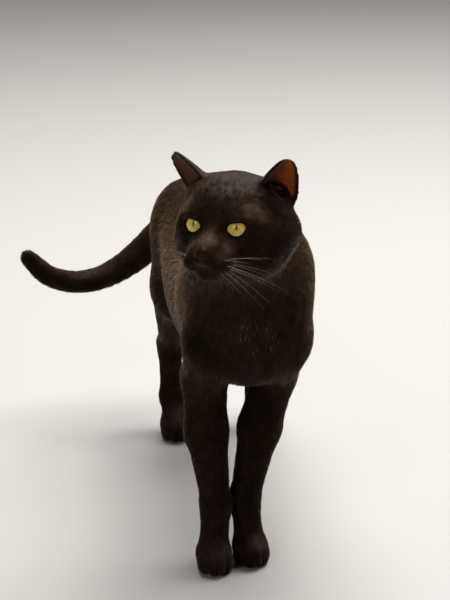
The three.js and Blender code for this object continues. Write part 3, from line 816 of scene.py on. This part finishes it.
# The dark rim of the lids with its tear duct, and the pink of the duct.
def lidMasks(side, points):
    edge, _, ahead, _ = opening(side, *points.T)
    reach = np.linalg.norm(points - onSide(side, head["eye"]), axis=1) - head["eyeRadius"]
    onLid = smoothStep(-edge, -0.9, -0.4) * smoothStep(-reach, -2.6, -1.9)
    duct = np.linalg.norm(points - onSide(side, head["tearDuct"]), axis=1)
    rim = np.maximum(np.where(ahead < 0, onLid, 0), smoothStep(-duct, -2.2, -1.6))
    return rim, smoothStep(-duct, -1.1, -0.6)


# The bare inside of an ear's cup, and the painted backlight: the light from behind that comes through the
# left ear's cup, laid into its colour.
def earMasks(side, points):
    away, inward, share, up = onEar(side, *points.T)
    within = smoothStep(-np.abs(share), -0.97, -0.8) * smoothStep(inward, -0.5, 0.4)
    within *= (up > -6) & (up < earAxes(side)[1] + 2) & (away < 4)
    within *= smoothStep(up + 12 * share * side, -1.0, 7.0)
    return within, within * smoothStep(share, -0.3, 0.8) * (side == 1)


# How bare or thinly covered the skin is, 0 to 1, and where light is painted on it: sparser coat with a
# painted highlight on the bridge of the nose, nose leather, lid rims, tear ducts, inside of the ears, the
# painted glow of light through the left one, lips and soles.
def skinMasks(points):
    a, b, c = inAxes(head["place"], head["turn"], *points.T)
    masks = {name: np.zeros(len(points)) for name in
             ("thin", "leather", "rim", "tear", "earInside", "paintedEarBacklight", "lips", "sole")}
    lips = np.full(len(points), 9.0)
    close = (b < -20) & (np.abs(a) < 22) & (c < -22)
    for side in (1, -1):
        rim, tear = lidMasks(side, points)
        inside, paintedBacklight = earMasks(side, points)
        for name, mask in (("rim", rim), ("tear", tear), ("earInside", inside), ("paintedEarBacklight", paintedBacklight)):
            masks[name] = np.maximum(masks[name], mask)
        line = [onSide(side, point) for point in mouth["lips"]]
        for start, end in zip(line[:-1], line[1:]):
            away = np.linalg.norm(fromLine(points[close], start, end), axis=1)
            lips[close] = np.minimum(lips[close], away)
        # Lighter patches: sparser coat, and a painted highlight on the bridge of the nose.
        for place, reach in thinCoat:
            away = np.linalg.norm(points - onSide(side, place), axis=1)
            masks["thin"] = np.maximum(masks["thin"], smoothStep(-away, -reach, -0.35 * reach))
    masks["leather"] = leatherMask(a, b, c)
    masks["lips"] = smoothStep(-lips, -1.25, -0.65)
    masks["sole"] = smoothStep(-points[:, 2], -2.2, -0.9)
    return masks


# The coat's brown-black: two browns in broad patches with a fine speck. Where along is given, the hairs are
# lighter towards their tips and darker at their roots, which is painted shade of the hairs lying over each
# other, and each tuft has its own tone.
def coatColour(material, along=None):
    coords = add(material, "ShaderNodeTexCoord")
    broad, fine = [add(material, "ShaderNodeTexNoise", settings, [("Vector", coords, "Object")])
                   for settings in ({"Scale": 22.0, "Detail": 3.0}, {"Scale": 900.0, "Detail": 2.0})]
    brown = ramp(add(material, "ShaderNodeValToRGB", None, [("Fac", broad, "Fac")]),
                 [(0.35, "#1b120b"), (0.7, "#2b1d13")])
    speck = add(material, "ShaderNodeMapRange",
                {"From Min": 0.3, "From Max": 0.7, "To Min": 0.75, "To Max": 1.25}, [("Value", fine, "Fac")])
    shade = add(material, "ShaderNodeVectorMath", {"operation": "SCALE"},
                [(0, brown, "Color"), ("Scale", speck, "Result")])
    if along is None:
        return shade
    # Painted shade: 0.7 at the root up to 1.15 at the tip, for the shadow the hairs cast among themselves.
    lift = add(material, "ShaderNodeMapRange", {"To Min": 0.7, "To Max": 1.15}, [("Value", along, "Fac")])
    tone = add(material, "ShaderNodeAttribute", {"attribute_name": "tone"})
    lift = add(material, "ShaderNodeMath", {"operation": "MULTIPLY"}, [(0, lift, "Result"), (1, tone, "Fac")])
    return add(material, "ShaderNodeVectorMath", {"operation": "SCALE"},
               [(0, shade, "Vector"), ("Scale", lift, "Value")])


# The base colour: the coat's, with one colour after another laid over it by its mask.
def layMarks(material, shader, coatShade, marks):
    colour, output = coatShade, "Vector"
    for name, hexColour in marks:
        mask = add(material, "ShaderNodeAttribute", {"attribute_name": name})
        colour = add(material, "ShaderNodeMix", {"data_type": "RGBA", 7: linear(hexColour)},
                     [(0, mask, "Fac"), (6, colour, output)])
        output = 2
    connect(material, colour, output, shader, "Base Color")


# Hair's gloss: a low satin reflection, and the light that short hairs catch where they are seen edge-on.
hairGloss = {
    "Roughness": 0.5,
    "Specular IOR Level": 0.1,
    "Specular Tint": linear("#e8c8a8"),
    "Sheen Weight": 0.38,
    "Sheen Roughness": 0.32,
    "Sheen Tint": linear("#d8b08a"),
}
# The pale brown of the patches is the sparser coat and, on the bridge of the nose, a painted highlight.
skinMarks = [("thin", "#43342a"), ("earInside", "#4a2f24"), ("paintedEarBacklight", "#94481f"), ("leather", "#2b1b13"),
             ("rim", "#050303"), ("tear", "#5a3f36"), ("lips", "#0c0705"), ("sole", "#191210")]
# The orange inside the left ear, on the skin and on its few tufts, is painted backlight: light from behind
# shining through the ear, laid into the colour.
coatMarks = [("thin", "#43342a"), ("paintedEarBacklight", "#4e281a")]


# Bare leather of the nose, lid rims and lips: the skin's colours under a thin moist film, no hair. Its
# pebbled grain is about 0.7 mm across.
def makeLeatherMaterial():
    material, shader = newMaterial("moistCatLeather", {
        "Roughness": 0.5, "Specular IOR Level": 0.06,
        "Coat Weight": 0.02, "Coat Roughness": 0.2, "Coat IOR": 1.38,
    })
    layMarks(material, shader, coatColour(material), skinMarks)
    coords = add(material, "ShaderNodeTexCoord")
    grain = add(material, "ShaderNodeTexVoronoi", {"Scale": 1500.0}, [("Vector", coords, "Object")])
    bump = add(material, "ShaderNodeBump", {"Strength": 0.35, "Distance": 0.0002},
               [("Height", grain, "Distance")])
    connect(material, bump, "Normal", shader, "Normal")
    return material


# Cat skin under a short black coat, the same brown-black as the hairs, with fine hair relief.
def makeSkinMaterial():
    material, shader = newMaterial("catSkin", hairGloss)
    layMarks(material, shader, coatColour(material), skinMarks)
    coords = add(material, "ShaderNodeTexCoord")
    hairs = add(material, "ShaderNodeTexNoise", {"Scale": 1200.0, "Detail": 3.0},
                [("Vector", coords, "Object")])
    bump = add(material, "ShaderNodeBump", {"Strength": 0.5, "Distance": 0.0004}, [("Height", hairs, "Fac")])
    connect(material, bump, "Normal", shader, "Normal")
    return material


# The coat: closed needles of a few flat hairs each, in joined meshes.
coat = {
    "lengthSpread": (0.72, 1.12),
    "sway": 16,  # degrees that neighbouring tufts swing together
    "stray": 6,  # degrees that each tuft strays on its own
    "thickness": 0.16,  # of a tuft's width
    "broaden": 1.3,
    "sunk": 0.25,  # mm that a tuft's root is under the skin
    "rounding": 0.3,  # how far a tuft's normals turn to its sides
    "patch": 0.003,  # of the map, for each tuft
    "inEar": 0.04,  # share of the tufts that grow inside an ear
    "bareRoot": 0.4,  # how bare the skin may be at a tuft's root
    "bareTip": 0.5,  # and under its far end
    "crowding": 0.86,  # of each stream's spacing
    "mottle": (0.17, 0.14, 0.24),  # how far the hairs' tone wanders: in locks, in patches, singly
    "tones": (0.4, 2.6),  # its least and most
    "uneven": (0.1, 0.13),  # how far the hairs' normals wander: in locks, singly
}


# A smooth wave in space: the sum of sines of p . k over random directions, size mm from crest to crest.
def ripple(points, size, seed, count=7):
    waves = np.random.default_rng(seed)
    total = np.zeros(len(points))
    for _ in range(count):
        direction = waves.normal(size=3)
        direction *= 2 * math.pi / size / np.linalg.norm(direction) * waves.uniform(0.6, 1.5)
        total += np.sin(points @ direction + waves.uniform(0, 2 * math.pi))
    return total / count ** 0.5


# Roots spread evenly over triangles: each triangle gets its area times the density, carried over.
def spreadRoots(points, normals, triangles, spacing):
    a, b, c = points[triangles[:, 0]], points[triangles[:, 1]], points[triangles[:, 2]]
    area = np.linalg.norm(np.cross(b - a, c - a), axis=1) / 2
    running = np.cumsum(area / spacing ** 2)
    count = int(running[-1])
    chosen = np.searchsorted(running, np.arange(count) + random.random(count))
    chosen = np.minimum(chosen, len(triangles) - 1)
    u, v = random.random(count), random.random(count)
    over = u + v > 1
    u[over], v[over] = 1 - u[over], 1 - v[over]
    weights = (1 - u - v, u, v)
    roots, up = [sum(weight[:, None] * values[triangles[chosen, i]] for i, weight in enumerate(weights))
                 for values in (points, normals)]
    return roots, unit(up)


# Places on an unwrap of a stream: round its line, and along it with its rounded ends rolled flat.
def unwrapped(row, points):
    axis = row["end"] - row["start"]
    length = np.linalg.norm(axis)
    axis = axis / length
    side = unit(np.cross(axis, (0.31, 0.9, 0.3) if abs(axis[1]) < 0.9 else (0, 0, 1)))
    along = (points - row["start"]) @ axis
    t = np.clip(along, 0, length)
    away = points - row["start"] - t[:, None] * axis
    turn = np.arctan2(away @ np.cross(axis, side), away @ side) / (2 * math.pi) + 0.5
    roll = row["radius"] * np.arctan2(along - t, np.linalg.norm(away - (along - t)[:, None] * axis, axis=1))
    reach = row["radius"] * math.pi / 2
    return np.stack([turn, (t + roll + reach) / (length + 2 * reach)], 1)


# Places on the map of a coat piece: one strip for each of its streams, with a margin round each.
def onStrips(roots, nearest, rows):
    places = np.zeros((len(roots), 2))
    for strip, i in enumerate(rows):
        mine = nearest == i
        at = unwrapped(streams[i], roots[mine])
        places[mine] = (at * [0.975, 0.95] + [0.01, strip + 0.02]) / [1, len(rows)]
    return places


# One closed needle a root, (count, 4, 3): its base is a low triangle and its tip leans away from the
# skin by lift. In the tuft's axes: (w, 0, 0), (-w, 0, 0), (0, 0, h) and the tip. Its shading normals
# are the skin's, turned a little to its sides and back from its tip.
def needles(roots, normals, flow, length, width, lift, uneven=0):
    across = np.cross(flow, normals)
    tip = roots + length[:, None] * (flow * np.cos(lift)[:, None] + normals * np.sin(lift)[:, None])
    sunk = roots - normals * coat["sunk"]
    half, height = width[:, None] / 2, (width * coat["thickness"])[:, None]
    points = [sunk + across * half, sunk - across * half, sunk + normals * (height + coat["sunk"]), tip]
    lean = normals - flow * np.tan(lift)[:, None] * 0.5 + uneven
    shading = [lean + across * coat["rounding"], lean - across * coat["rounding"], lean, lean]
    return np.stack(points, 1), unit(np.stack(shading, 1))


# A needle's faces, how far along the hair its corners are, and their places on its patch of the map.
needleFaces = np.array([[0, 1, 3], [0, 3, 2], [1, 2, 3], [0, 2, 1]])
needleAlong = [0.0, 0.0, 0.06, 1.0]
needlePatch = np.array([[-0.5, 0], [0.5, 0], [0, 0.12], [0, 1]])


# One piece of the coat from its needles, with their normals, their marks (the ear's painted backlight, the
# sparser coat with the painted highlight on the bridge of the nose, and tone) and their places on the map.
def makeCoatPiece(name, tufts, shading, marks, places, material):
    count, corners = tufts.shape[:2]
    faces = (np.arange(count)[:, None, None] * corners + needleFaces).reshape(-1, 3)
    piece = makePiece(name, toFrame(tufts.reshape(-1, 3)), faces, material)
    setAttribute(piece, "custom_normal", shading.reshape(-1, 3))
    setAttribute(piece, "along", np.tile(needleAlong, count))
    for key, mark in zip(("paintedEarBacklight", "thin", "tone"), marks.T):
        setAttribute(piece, key, np.repeat(mark, corners))
    patches = (places[:, None, :] + needlePatch * coat["patch"]).reshape(-1, 2)
    layer = piece.data.uv_layers.new(name="OFBake", do_init=False)
    layer.uv.foreach_set("vector", np.ascontiguousarray(patches[faces.ravel()], np.float32).ravel())
    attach(piece, "root")


# Short dense black coat: dark at the roots as painted shade among the hairs, a warm brown cast at the tips,
# satin.
def makeCoatMaterial():
    material, shader = newMaterial("shortBlackCoat", hairGloss)
    along = add(material, "ShaderNodeAttribute", {"attribute_name": "along"})
    layMarks(material, shader, coatColour(material, along), coatMarks)
    return material


# How bare the skin is: the highest of its masks for hairless places.
def bareness(masks, names=("leather", "rim", "lips", "sole")):
    return np.maximum.reduce([masks[name] for name in names])


# The tufts' roots, spread over the skin but for its bare places and nearly all of the ears' insides, with
# the skin's normals and masks there.
def coatRoots(points, quads, normals):
    triangles = np.concatenate([quads[:, :3], quads[:, [0, 2, 3]]])
    spacing = blended(points[triangles].mean(1), ["spacing"])[0]["spacing"] * coat["crowding"]
    roots, up = spreadRoots(points, normals, triangles, spacing)
    masks = skinMasks(roots)
    furred = (masks["earInside"] < 0.5) | (random.random(len(roots)) < coat["inEar"])
    kept = furred & (bareness(masks) < coat["bareRoot"])
    return roots[kept], up[kept], {name: mask[kept] for name, mask in masks.items()}


# How the tufts lie: along the streams' flow, swung a little about the normal, shorter inside the ears
# and towards their rims, and rising by the coat's depth at their tips, lift = asin(rise / length).
def coatLie(roots, up, inside):
    numbers, nearest = blended(roots, ["flow", "length", "width", "depth"])
    flow = unit(numbers["flow"] - up * (numbers["flow"] * up).sum(1)[:, None])
    swing = np.radians(coat["sway"] * ripple(roots, 16, 3) + coat["stray"] * random.normal(size=len(roots)))
    flow = flow * np.cos(swing)[:, None] + np.cross(up, flow) * np.sin(swing)[:, None]
    length = numbers["length"] * random.uniform(*coat["lengthSpread"], len(roots)) * (1 - 0.3 * inside)
    for side in (1, -1):
        away, _, share, height = onEar(side, *roots.T)
        length *= np.where((away < 3) & (height > 0), 1 - 0.5 * smoothStep(np.abs(share), 0.75, 0.95), 1)
    rise = numbers["depth"] * (0.6 + 0.1 * ripple(roots, 9, 5) + 0.2 * random.random(len(roots)))
    lift = np.arcsin(np.clip(rise / length, 0.02, 0.8))
    return flow, length, numbers["width"] * coat["broaden"], lift, nearest


# The whole coat: its tufts in pieces by their nearest stream, and the longer hairs.
def makeCoat(points, quads, normals):
    roots, up, masks = coatRoots(points, quads, normals)
    tone = np.array(coat["mottle"]) @ [ripple(roots, 4.5, 11), ripple(roots, 13, 12),
                                       random.normal(size=len(roots))]
    marks = np.stack([masks["paintedEarBacklight"], masks["thin"], np.clip(np.exp(tone), *coat["tones"])], 1)
    flow, length, width, lift, nearest = coatLie(roots, up, masks["earInside"])
    clear = bareness(skinMasks(roots + flow * length[:, None] * 0.8)) < coat["bareTip"]
    roots, up, flow, length, width, lift, marks, nearest = [
        values[clear] for values in (roots, up, flow, length, width, lift, marks, nearest)]
    uneven = coat["uneven"][0] * np.stack([ripple(roots, 6, seed) for seed in (21, 22, 23)], 1)
    uneven += coat["uneven"][1] * random.normal(size=(len(roots), 3))
    tufts, shading = needles(roots, up, flow, length, width, lift, uneven)
    paleHair, material = makePaleHairMaterial(), makeCoatMaterial()
    makeFringes(roots, up, flow, nearest, material, paleHair)
    makeWhiskers(paleHair)
    names = np.array([row["piece"] for row in streams])
    for name in dict.fromkeys(names):
        rows = np.flatnonzero(names == name)
        mine = np.isin(nearest, rows)
        places = onStrips(roots[mine], nearest[mine], rows)
        makeCoatPiece(name, tufts[mine], shading[mine], marks[mine], places, material)
        print("coat:", name, int(mine.sum()), "tufts")


# Points on rings (rows, columns, 3) closed by a point at each end, and the triangles between them.
def closedRings(rings, first, last):
    rows, columns = rings.shape[:2]
    here = np.arange(rows * columns).reshape(rows, columns)
    after = np.roll(here, -1, 1)
    a, b, c, d = here[:-1], after[:-1], after[1:], here[1:]
    sides = np.concatenate([np.stack(three, -1).reshape(-1, 3) for three in ([a, b, c], [a, c, d])])
    start, end = rows * columns, rows * columns + 1
    capStart = np.stack([np.full(columns, start), after[0], here[0]], 1)
    capEnd = np.stack([np.full(columns, end), here[-1], after[-1]], 1)
    points = np.concatenate([rings.reshape(-1, 3), [first], [last]])
    return points, np.concatenate([sides, capStart, capEnd])


# Tapered round hairs along lines (count, steps, 3), closed by a point at each end.
def strands(lines, radii, sides=5):
    count = len(lines)
    tangent = unit(np.gradient(lines, axis=1))
    across = unit(np.cross(tangent, head["turn"][:, 0] * 0.3 + head["turn"][:, 2]))
    over = np.cross(across, tangent)
    turn = np.linspace(0, 2 * math.pi, sides, endpoint=False)
    spread = np.cos(turn)[:, None] * across[:, :, None] + np.sin(turn)[:, None] * over[:, :, None]
    rings = lines[:, :, None] + spread * radii[:, :, None, None]
    points = np.concatenate([rings.reshape(count, -1, 3), lines[:, :1], lines[:, -1:]], 1)
    one = closedRings(rings[0], lines[0, 0], lines[0, -1])[1]
    faces = np.arange(count)[:, None, None] * points.shape[1] + one
    return points.reshape(-1, 3), faces.reshape(-1, 3)


whiskers = {
    "rows": (-21.5, -24, -26.5, -29),  # heights on the pad
    "columns": (-40.5, -37, -33.5),
    "rise": (8, -6, -18, -32),  # degrees above level, row by row
    "sweep": (8, 22, 38),  # degrees backwards, column by column
    "length": (28, 42, 50),
    "radius": 0.21,
    "droop": 0.14,  # of its length
}


# A whisker of length L from its root along d: root + L s (d + droop s^1.5 (0, 0.25, -1)), s from 0 to 1.
def makeWhiskers(material):
    found = []
    for side in (1, -1):
        for z, rise in zip(whiskers["rows"], whiskers["rise"]):
            for y, sweep, length in zip(whiskers["columns"], whiskers["sweep"], whiskers["length"]):
                up, back = np.radians([rise + random.normal() * 4, sweep + random.normal() * 4])
                ahead = [side * math.cos(up) * math.cos(back), math.cos(up) * math.sin(back), math.sin(up)]
                root = onSide(side, (8 + (y + 42) * 0.85, y, z))
                found.append((root, head["turn"] @ ahead, length * random.uniform(0.75, 1.1)))
    roots, ahead, lengths = (np.array(values, float) for values in zip(*found))
    share = np.linspace(0, 1, 9)[None, :, None]
    lines = roots[:, None] + lengths[:, None, None] * share * (
        ahead[:, None] + np.array([0, 0.25, -1]) * whiskers["droop"] * share ** 1.5)
    radii = whiskers["radius"] * np.maximum(1 - share[:, :, 0], 0.12) * np.ones(len(lines))[:, None]
    points, faces = strands(lines, radii)
    piece = makePiece("whiskers", toFrame(points), faces, material)
    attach(piece, "root")
    print("whiskers:", len(lines))


# Stiff pale hair, for whiskers and the single white hairs of a black coat.
def makePaleHairMaterial():
    return newMaterial("paleStiffHair", {"Base Color": linear("#75655a"), "Roughness": 0.4})[0]


fringe = {
    "chest": (5, -50, 210),  # single pale hairs around here
    "chestReach": 20,
    "chestCount": 26,
    "chestLength": (5, 8),
    "earAhead": (0.8, -0.35, 0.35),  # outwards, up and out of the ear
    "earSpread": 0.2,
    "earLength": (5, 9),
    "earDark": 70,  # hairs in each ear
    "earPale": 14,
    "width": 0.42,
    "lift": {"ear": 0.12, "chest": 0.42},  # radians that the hairs stand up
}


# Roots on the inner side of an ear's hollow, and the ways that hairs grow from there across it.
def earFringe(roots, side, count):
    away, inward, share, height = onEar(side, *roots.T)
    inner = (away < 9) & (inward > -0.5) & (share * side < -0.1) & (np.abs(height - 2) < 9)
    count = min(count, int(inner.sum()))
    found = random.choice(np.flatnonzero(inner), count, replace=False)
    axes = earAxes(side)[2]
    across, up, out = fringe["earAhead"]
    ahead = axes @ np.array([side * across, up, out]) + fringe["earSpread"] * random.normal(size=(count, 3))
    return found, ahead, np.tile(axes[:, 2], (count, 1))


# Longer hairs over the coat: pale ones on the chest and in the ears, and the dark fringe of the ears.
def makeFringes(roots, up, flow, nearest, dark, pale):
    away = np.linalg.norm(roots - fringe["chest"], axis=1)
    chest = random.choice(np.flatnonzero(away < fringe["chestReach"]), fringe["chestCount"], replace=False)
    ears = {key: [earFringe(roots, side, fringe[key]) for side in (1, -1)] for key in ("earDark", "earPale")}
    sets = {"coatPaleHairs": [(chest, flow[chest], up[chest])] + ears["earPale"],
            "coatEarFringe": ears["earDark"]}
    for name, groups in sets.items():
        found, aheads, ups = (np.concatenate(values) for values in zip(*groups))
        aheads = unit(aheads - ups * (aheads * ups).sum(1)[:, None])
        inEar = ~np.isin(found, chest)
        lengths = np.where(inEar, random.uniform(*fringe["earLength"], len(found)),
                           random.uniform(*fringe["chestLength"], len(found)))
        tufts, shading = needles(roots[found], ups, aheads, lengths, np.full(len(found), fringe["width"]),
                                 np.where(inEar, fringe["lift"]["ear"], fringe["lift"]["chest"]))
        places = onStrips(roots[found], nearest[found], np.unique(nearest[found]))
        makeCoatPiece(name, tufts, shading, np.tile([0.0, 0.0, 1.0], (len(found), 1)), places,
                      pale if name == "coatPaleHairs" else dark)
        print("coat:", name, len(found), "hairs")


# The skin: the level's surface, with its masks stored at its points and leather on its barest faces.
def makeSkin():
    print("skin: working out the level")
    axes = skinAxes()
    points, quads = surfaceNet(skinLevel(axes), axes)
    print("skin: points", len(points), "faces", len(quads), [len(a) for a in axes])
    skin = makePiece("skin", toFrame(points), quads, makeSkinMaterial())
    masks = skinMasks(points)
    for name, mask in masks.items():
        setAttribute(skin, name, mask)
    bareFaces = bareness(masks, ("leather", "rim", "lips"))[quads].mean(1) > 0.5
    skin.data.materials.append(makeLeatherMaterial())
    skin.data.polygons.foreach_set("material_index", bareFaces.astype(np.int32))
    flesh = [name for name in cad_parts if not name.startswith("eye_")]
    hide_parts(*flesh)
    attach(skin, "root")
    normals = np.zeros(len(points) * 3, np.float32)
    skin.data.vertex_normals.foreach_get("vector", normals)
    return points, quads, normals.reshape(-1, 3).astype(float)


makeCoat(*makeSkin())


# The eyes: a ball with a slightly fuller cornea, gold iris and an upright slit.
iris = {
    "radius": 7.5,
    "slitHeight": 2.6,  # half of the slit's, as is its width
    "slitWidth": 0.55,
    "slitRise": 1.3,  # of its middle above the line of sight
    "bulge": 0.6,
    "bulgeAngle": 38,  # degrees
    "rows": 72,
    "columns": 96,
}


# Iris of a yellow-eyed cat under a wet clear cornea: fine spokes, a dark outer ring, a black slit.
def makeEyeMaterial():
    material, shader = newMaterial("wetYellowEye", {
        "Roughness": 0.35, "Coat Weight": 1.0, "Coat Roughness": 0.02, "Coat IOR": 1.38,
    })
    ring, slit, spoke = [add(material, "ShaderNodeAttribute", {"attribute_name": name})
                         for name in ("ring", "slit", "spoke")]
    share = add(material, "ShaderNodeMapRange", {"From Max": iris["radius"]}, [("Value", ring, "Fac")])
    gold = ramp(add(material, "ShaderNodeValToRGB", None, [("Fac", share, "Result")]),
                [(0.05, "#a88c2c"), (0.3, "#dcc04c"), (0.72, "#ecd866"), (0.9, "#a08a30"), (1.0, "#140d06")])
    fibres = add(material, "ShaderNodeTexNoise", {"Scale": 5.0, "Detail": 4.0}, [("Vector", spoke, "Vector")])
    streak = add(material, "ShaderNodeMapRange",
                 {"From Min": 0.3, "From Max": 0.7, "To Min": 0.72, "To Max": 1.2},
                 [("Value", fibres, "Fac")])
    streaked = add(material, "ShaderNodeVectorMath", {"operation": "SCALE"},
                   [(0, gold, "Color"), ("Scale", streak, "Result")])
    inSlit = add(material, "ShaderNodeMapRange",
                 {"From Min": -0.12, "From Max": 0.12, "To Min": 1.0, "To Max": 0.0},
                 [("Value", slit, "Fac")])
    mixed = add(material, "ShaderNodeMix", {"data_type": "RGBA", 7: linear("#020202")},
                [(0, inSlit, "Result"), (6, streaked, "Vector")])
    connect(material, mixed, 2, shader, "Base Color")
    return material


# The ball: radius R + bulge (1 - (angle / bulge angle)^2)^2 at each angle from the line of sight. It
# keeps each point's distance from that line, how far outside the slit it is, and its place on the spokes.
def makeEye(name, node, side, material):
    middle, axes = eyeAxes(side)
    axes = axes @ turned(0, 0, head["gaze"][side])
    angle = np.linspace(0, math.pi, iris["rows"] + 2)[1:-1, None]
    turn = np.linspace(0, 2 * math.pi, iris["columns"], endpoint=False)[None, :]
    full = iris["bulge"] * np.maximum(1 - (angle / math.radians(iris["bulgeAngle"])) ** 2, 0) ** 2
    radius = head["eyeRadius"] + full
    local = np.stack([radius * np.sin(angle) * np.cos(turn), -radius * np.cos(angle) + 0 * turn,
                      radius * np.sin(angle) * np.sin(turn)], -1)
    front, back = [0, -head["eyeRadius"] - iris["bulge"], 0], [0, head["eyeRadius"], 0]
    points, faces = closedRings(local, front, back)
    a, b, c = points.T
    behind = 20  # farther out than any place on the front
    ring = np.where(b < 0, np.hypot(a, c), behind)
    slit = np.abs(a) - iris["slitWidth"] * (1 - ((c - iris["slitRise"]) / iris["slitHeight"]) ** 2)
    spoke = np.stack([a / np.maximum(ring, 0.1), c / np.maximum(ring, 0.1), ring * 0.08], 1)
    piece = makePiece(name, toFrame(middle + points @ axes.T), faces, material)
    for key, values in (("ring", ring), ("slit", slit), ("spoke", spoke)):
        setAttribute(piece, key, values)
    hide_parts(node)
    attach(piece, "root")


eyeMaterial = makeEyeMaterial()
makeEye("eyeballLeft", "eye_left", 1, eyeMaterial)
makeEye("eyeballRight", "eye_right", -1, eyeMaterial)
print("eyes made")


# Room, light and camera.
studio = {
    "floor": 40.0,  # metres across
    "floorColour": "#b2afaa",
    "lamps": {  # place and size in metres, power in watts
        "top": ((0.4, 0.6, 2.6), 2.2, 150),
        "left": ((-1.8, -2.2, 1.4), 1.2, 8),
        "right": ((2.2, 0.9, 2.3), 1.6, 34),
        "front": ((-1.3, -2.6, 2.0), 0.8, 9),
    },
    "aim": (0, 0, 0.2),
    "sky": 0.105,
}
view = {
    "place": (-200.4, -1496.0, 667.26),
    "pitch": 16.5,  # degrees downwards
    "yaw": -7.0,  # degrees anticlockwise from straight along y, seen from above
    "lens": 120.0,
    "sensor": 36.0,
}


# The place and turn of a lamp: its axes are across, up and back from what it is aimed at.
def aimed(place, target):
    back = unit(np.array(place, float) - np.array(target, float))
    across = unit(np.cross([0, 0, 1], back))
    matrix = Matrix(np.stack([across, np.cross(back, across), back], 1).tolist()).to_4x4()
    matrix.translation = place
    return matrix


# Floor of matt pale paint, which shows soft shadows.
def makeFloor():
    half = studio["floor"] / 2
    finish = {"Base Color": linear(studio["floorColour"]), "Roughness": 0.8}
    material, _ = newMaterial("paleStudioFloor", finish)
    corners = np.array([[-half, -half, 0], [half, -half, 0], [half, half, 0], [-half, half, 0]])
    makePiece("studioFloor", corners, np.array([[0, 1, 2, 3]]), material, smooth=False)


# Soft square lamps and a faint even sky.
def makeLights(scene):
    for name, (place, size, power) in studio["lamps"].items():
        lamp = bpy.data.lights.new(name, "AREA")
        lamp.energy, lamp.size = power, size
        holder = bpy.data.objects.new(name, lamp)
        holder.matrix_world = aimed(place, studio["aim"])
        scene.collection.objects.link(holder)
    scene.world = bpy.data.worlds.new("studioSky")
    scene.world.use_nodes = True
    sky = scene.world.node_tree.nodes["Background"]
    sky.inputs["Color"].default_value = linear(studio["floorColour"])
    sky.inputs["Strength"].default_value = studio["sky"]
    scene.view_settings.view_transform = "Standard"


# A long lens, a little above the cat and looking down at it.
def makeCamera(scene):
    camera = bpy.data.cameras.new("camera")
    camera.lens, camera.sensor_width = view["lens"], view["sensor"]
    camera.clip_end = 100.0
    holder = bpy.data.objects.new("camera", camera)
    holder.location = toFrame(view["place"])
    holder.rotation_euler = [math.radians(a) for a in (90 - view["pitch"], 0, view["yaw"])]
    scene.collection.objects.link(holder)
    scene.camera = holder


makeFloor()
makeLights(bpy.context.scene)
makeCamera(bpy.context.scene)
print("studio: floor, lights and camera made")
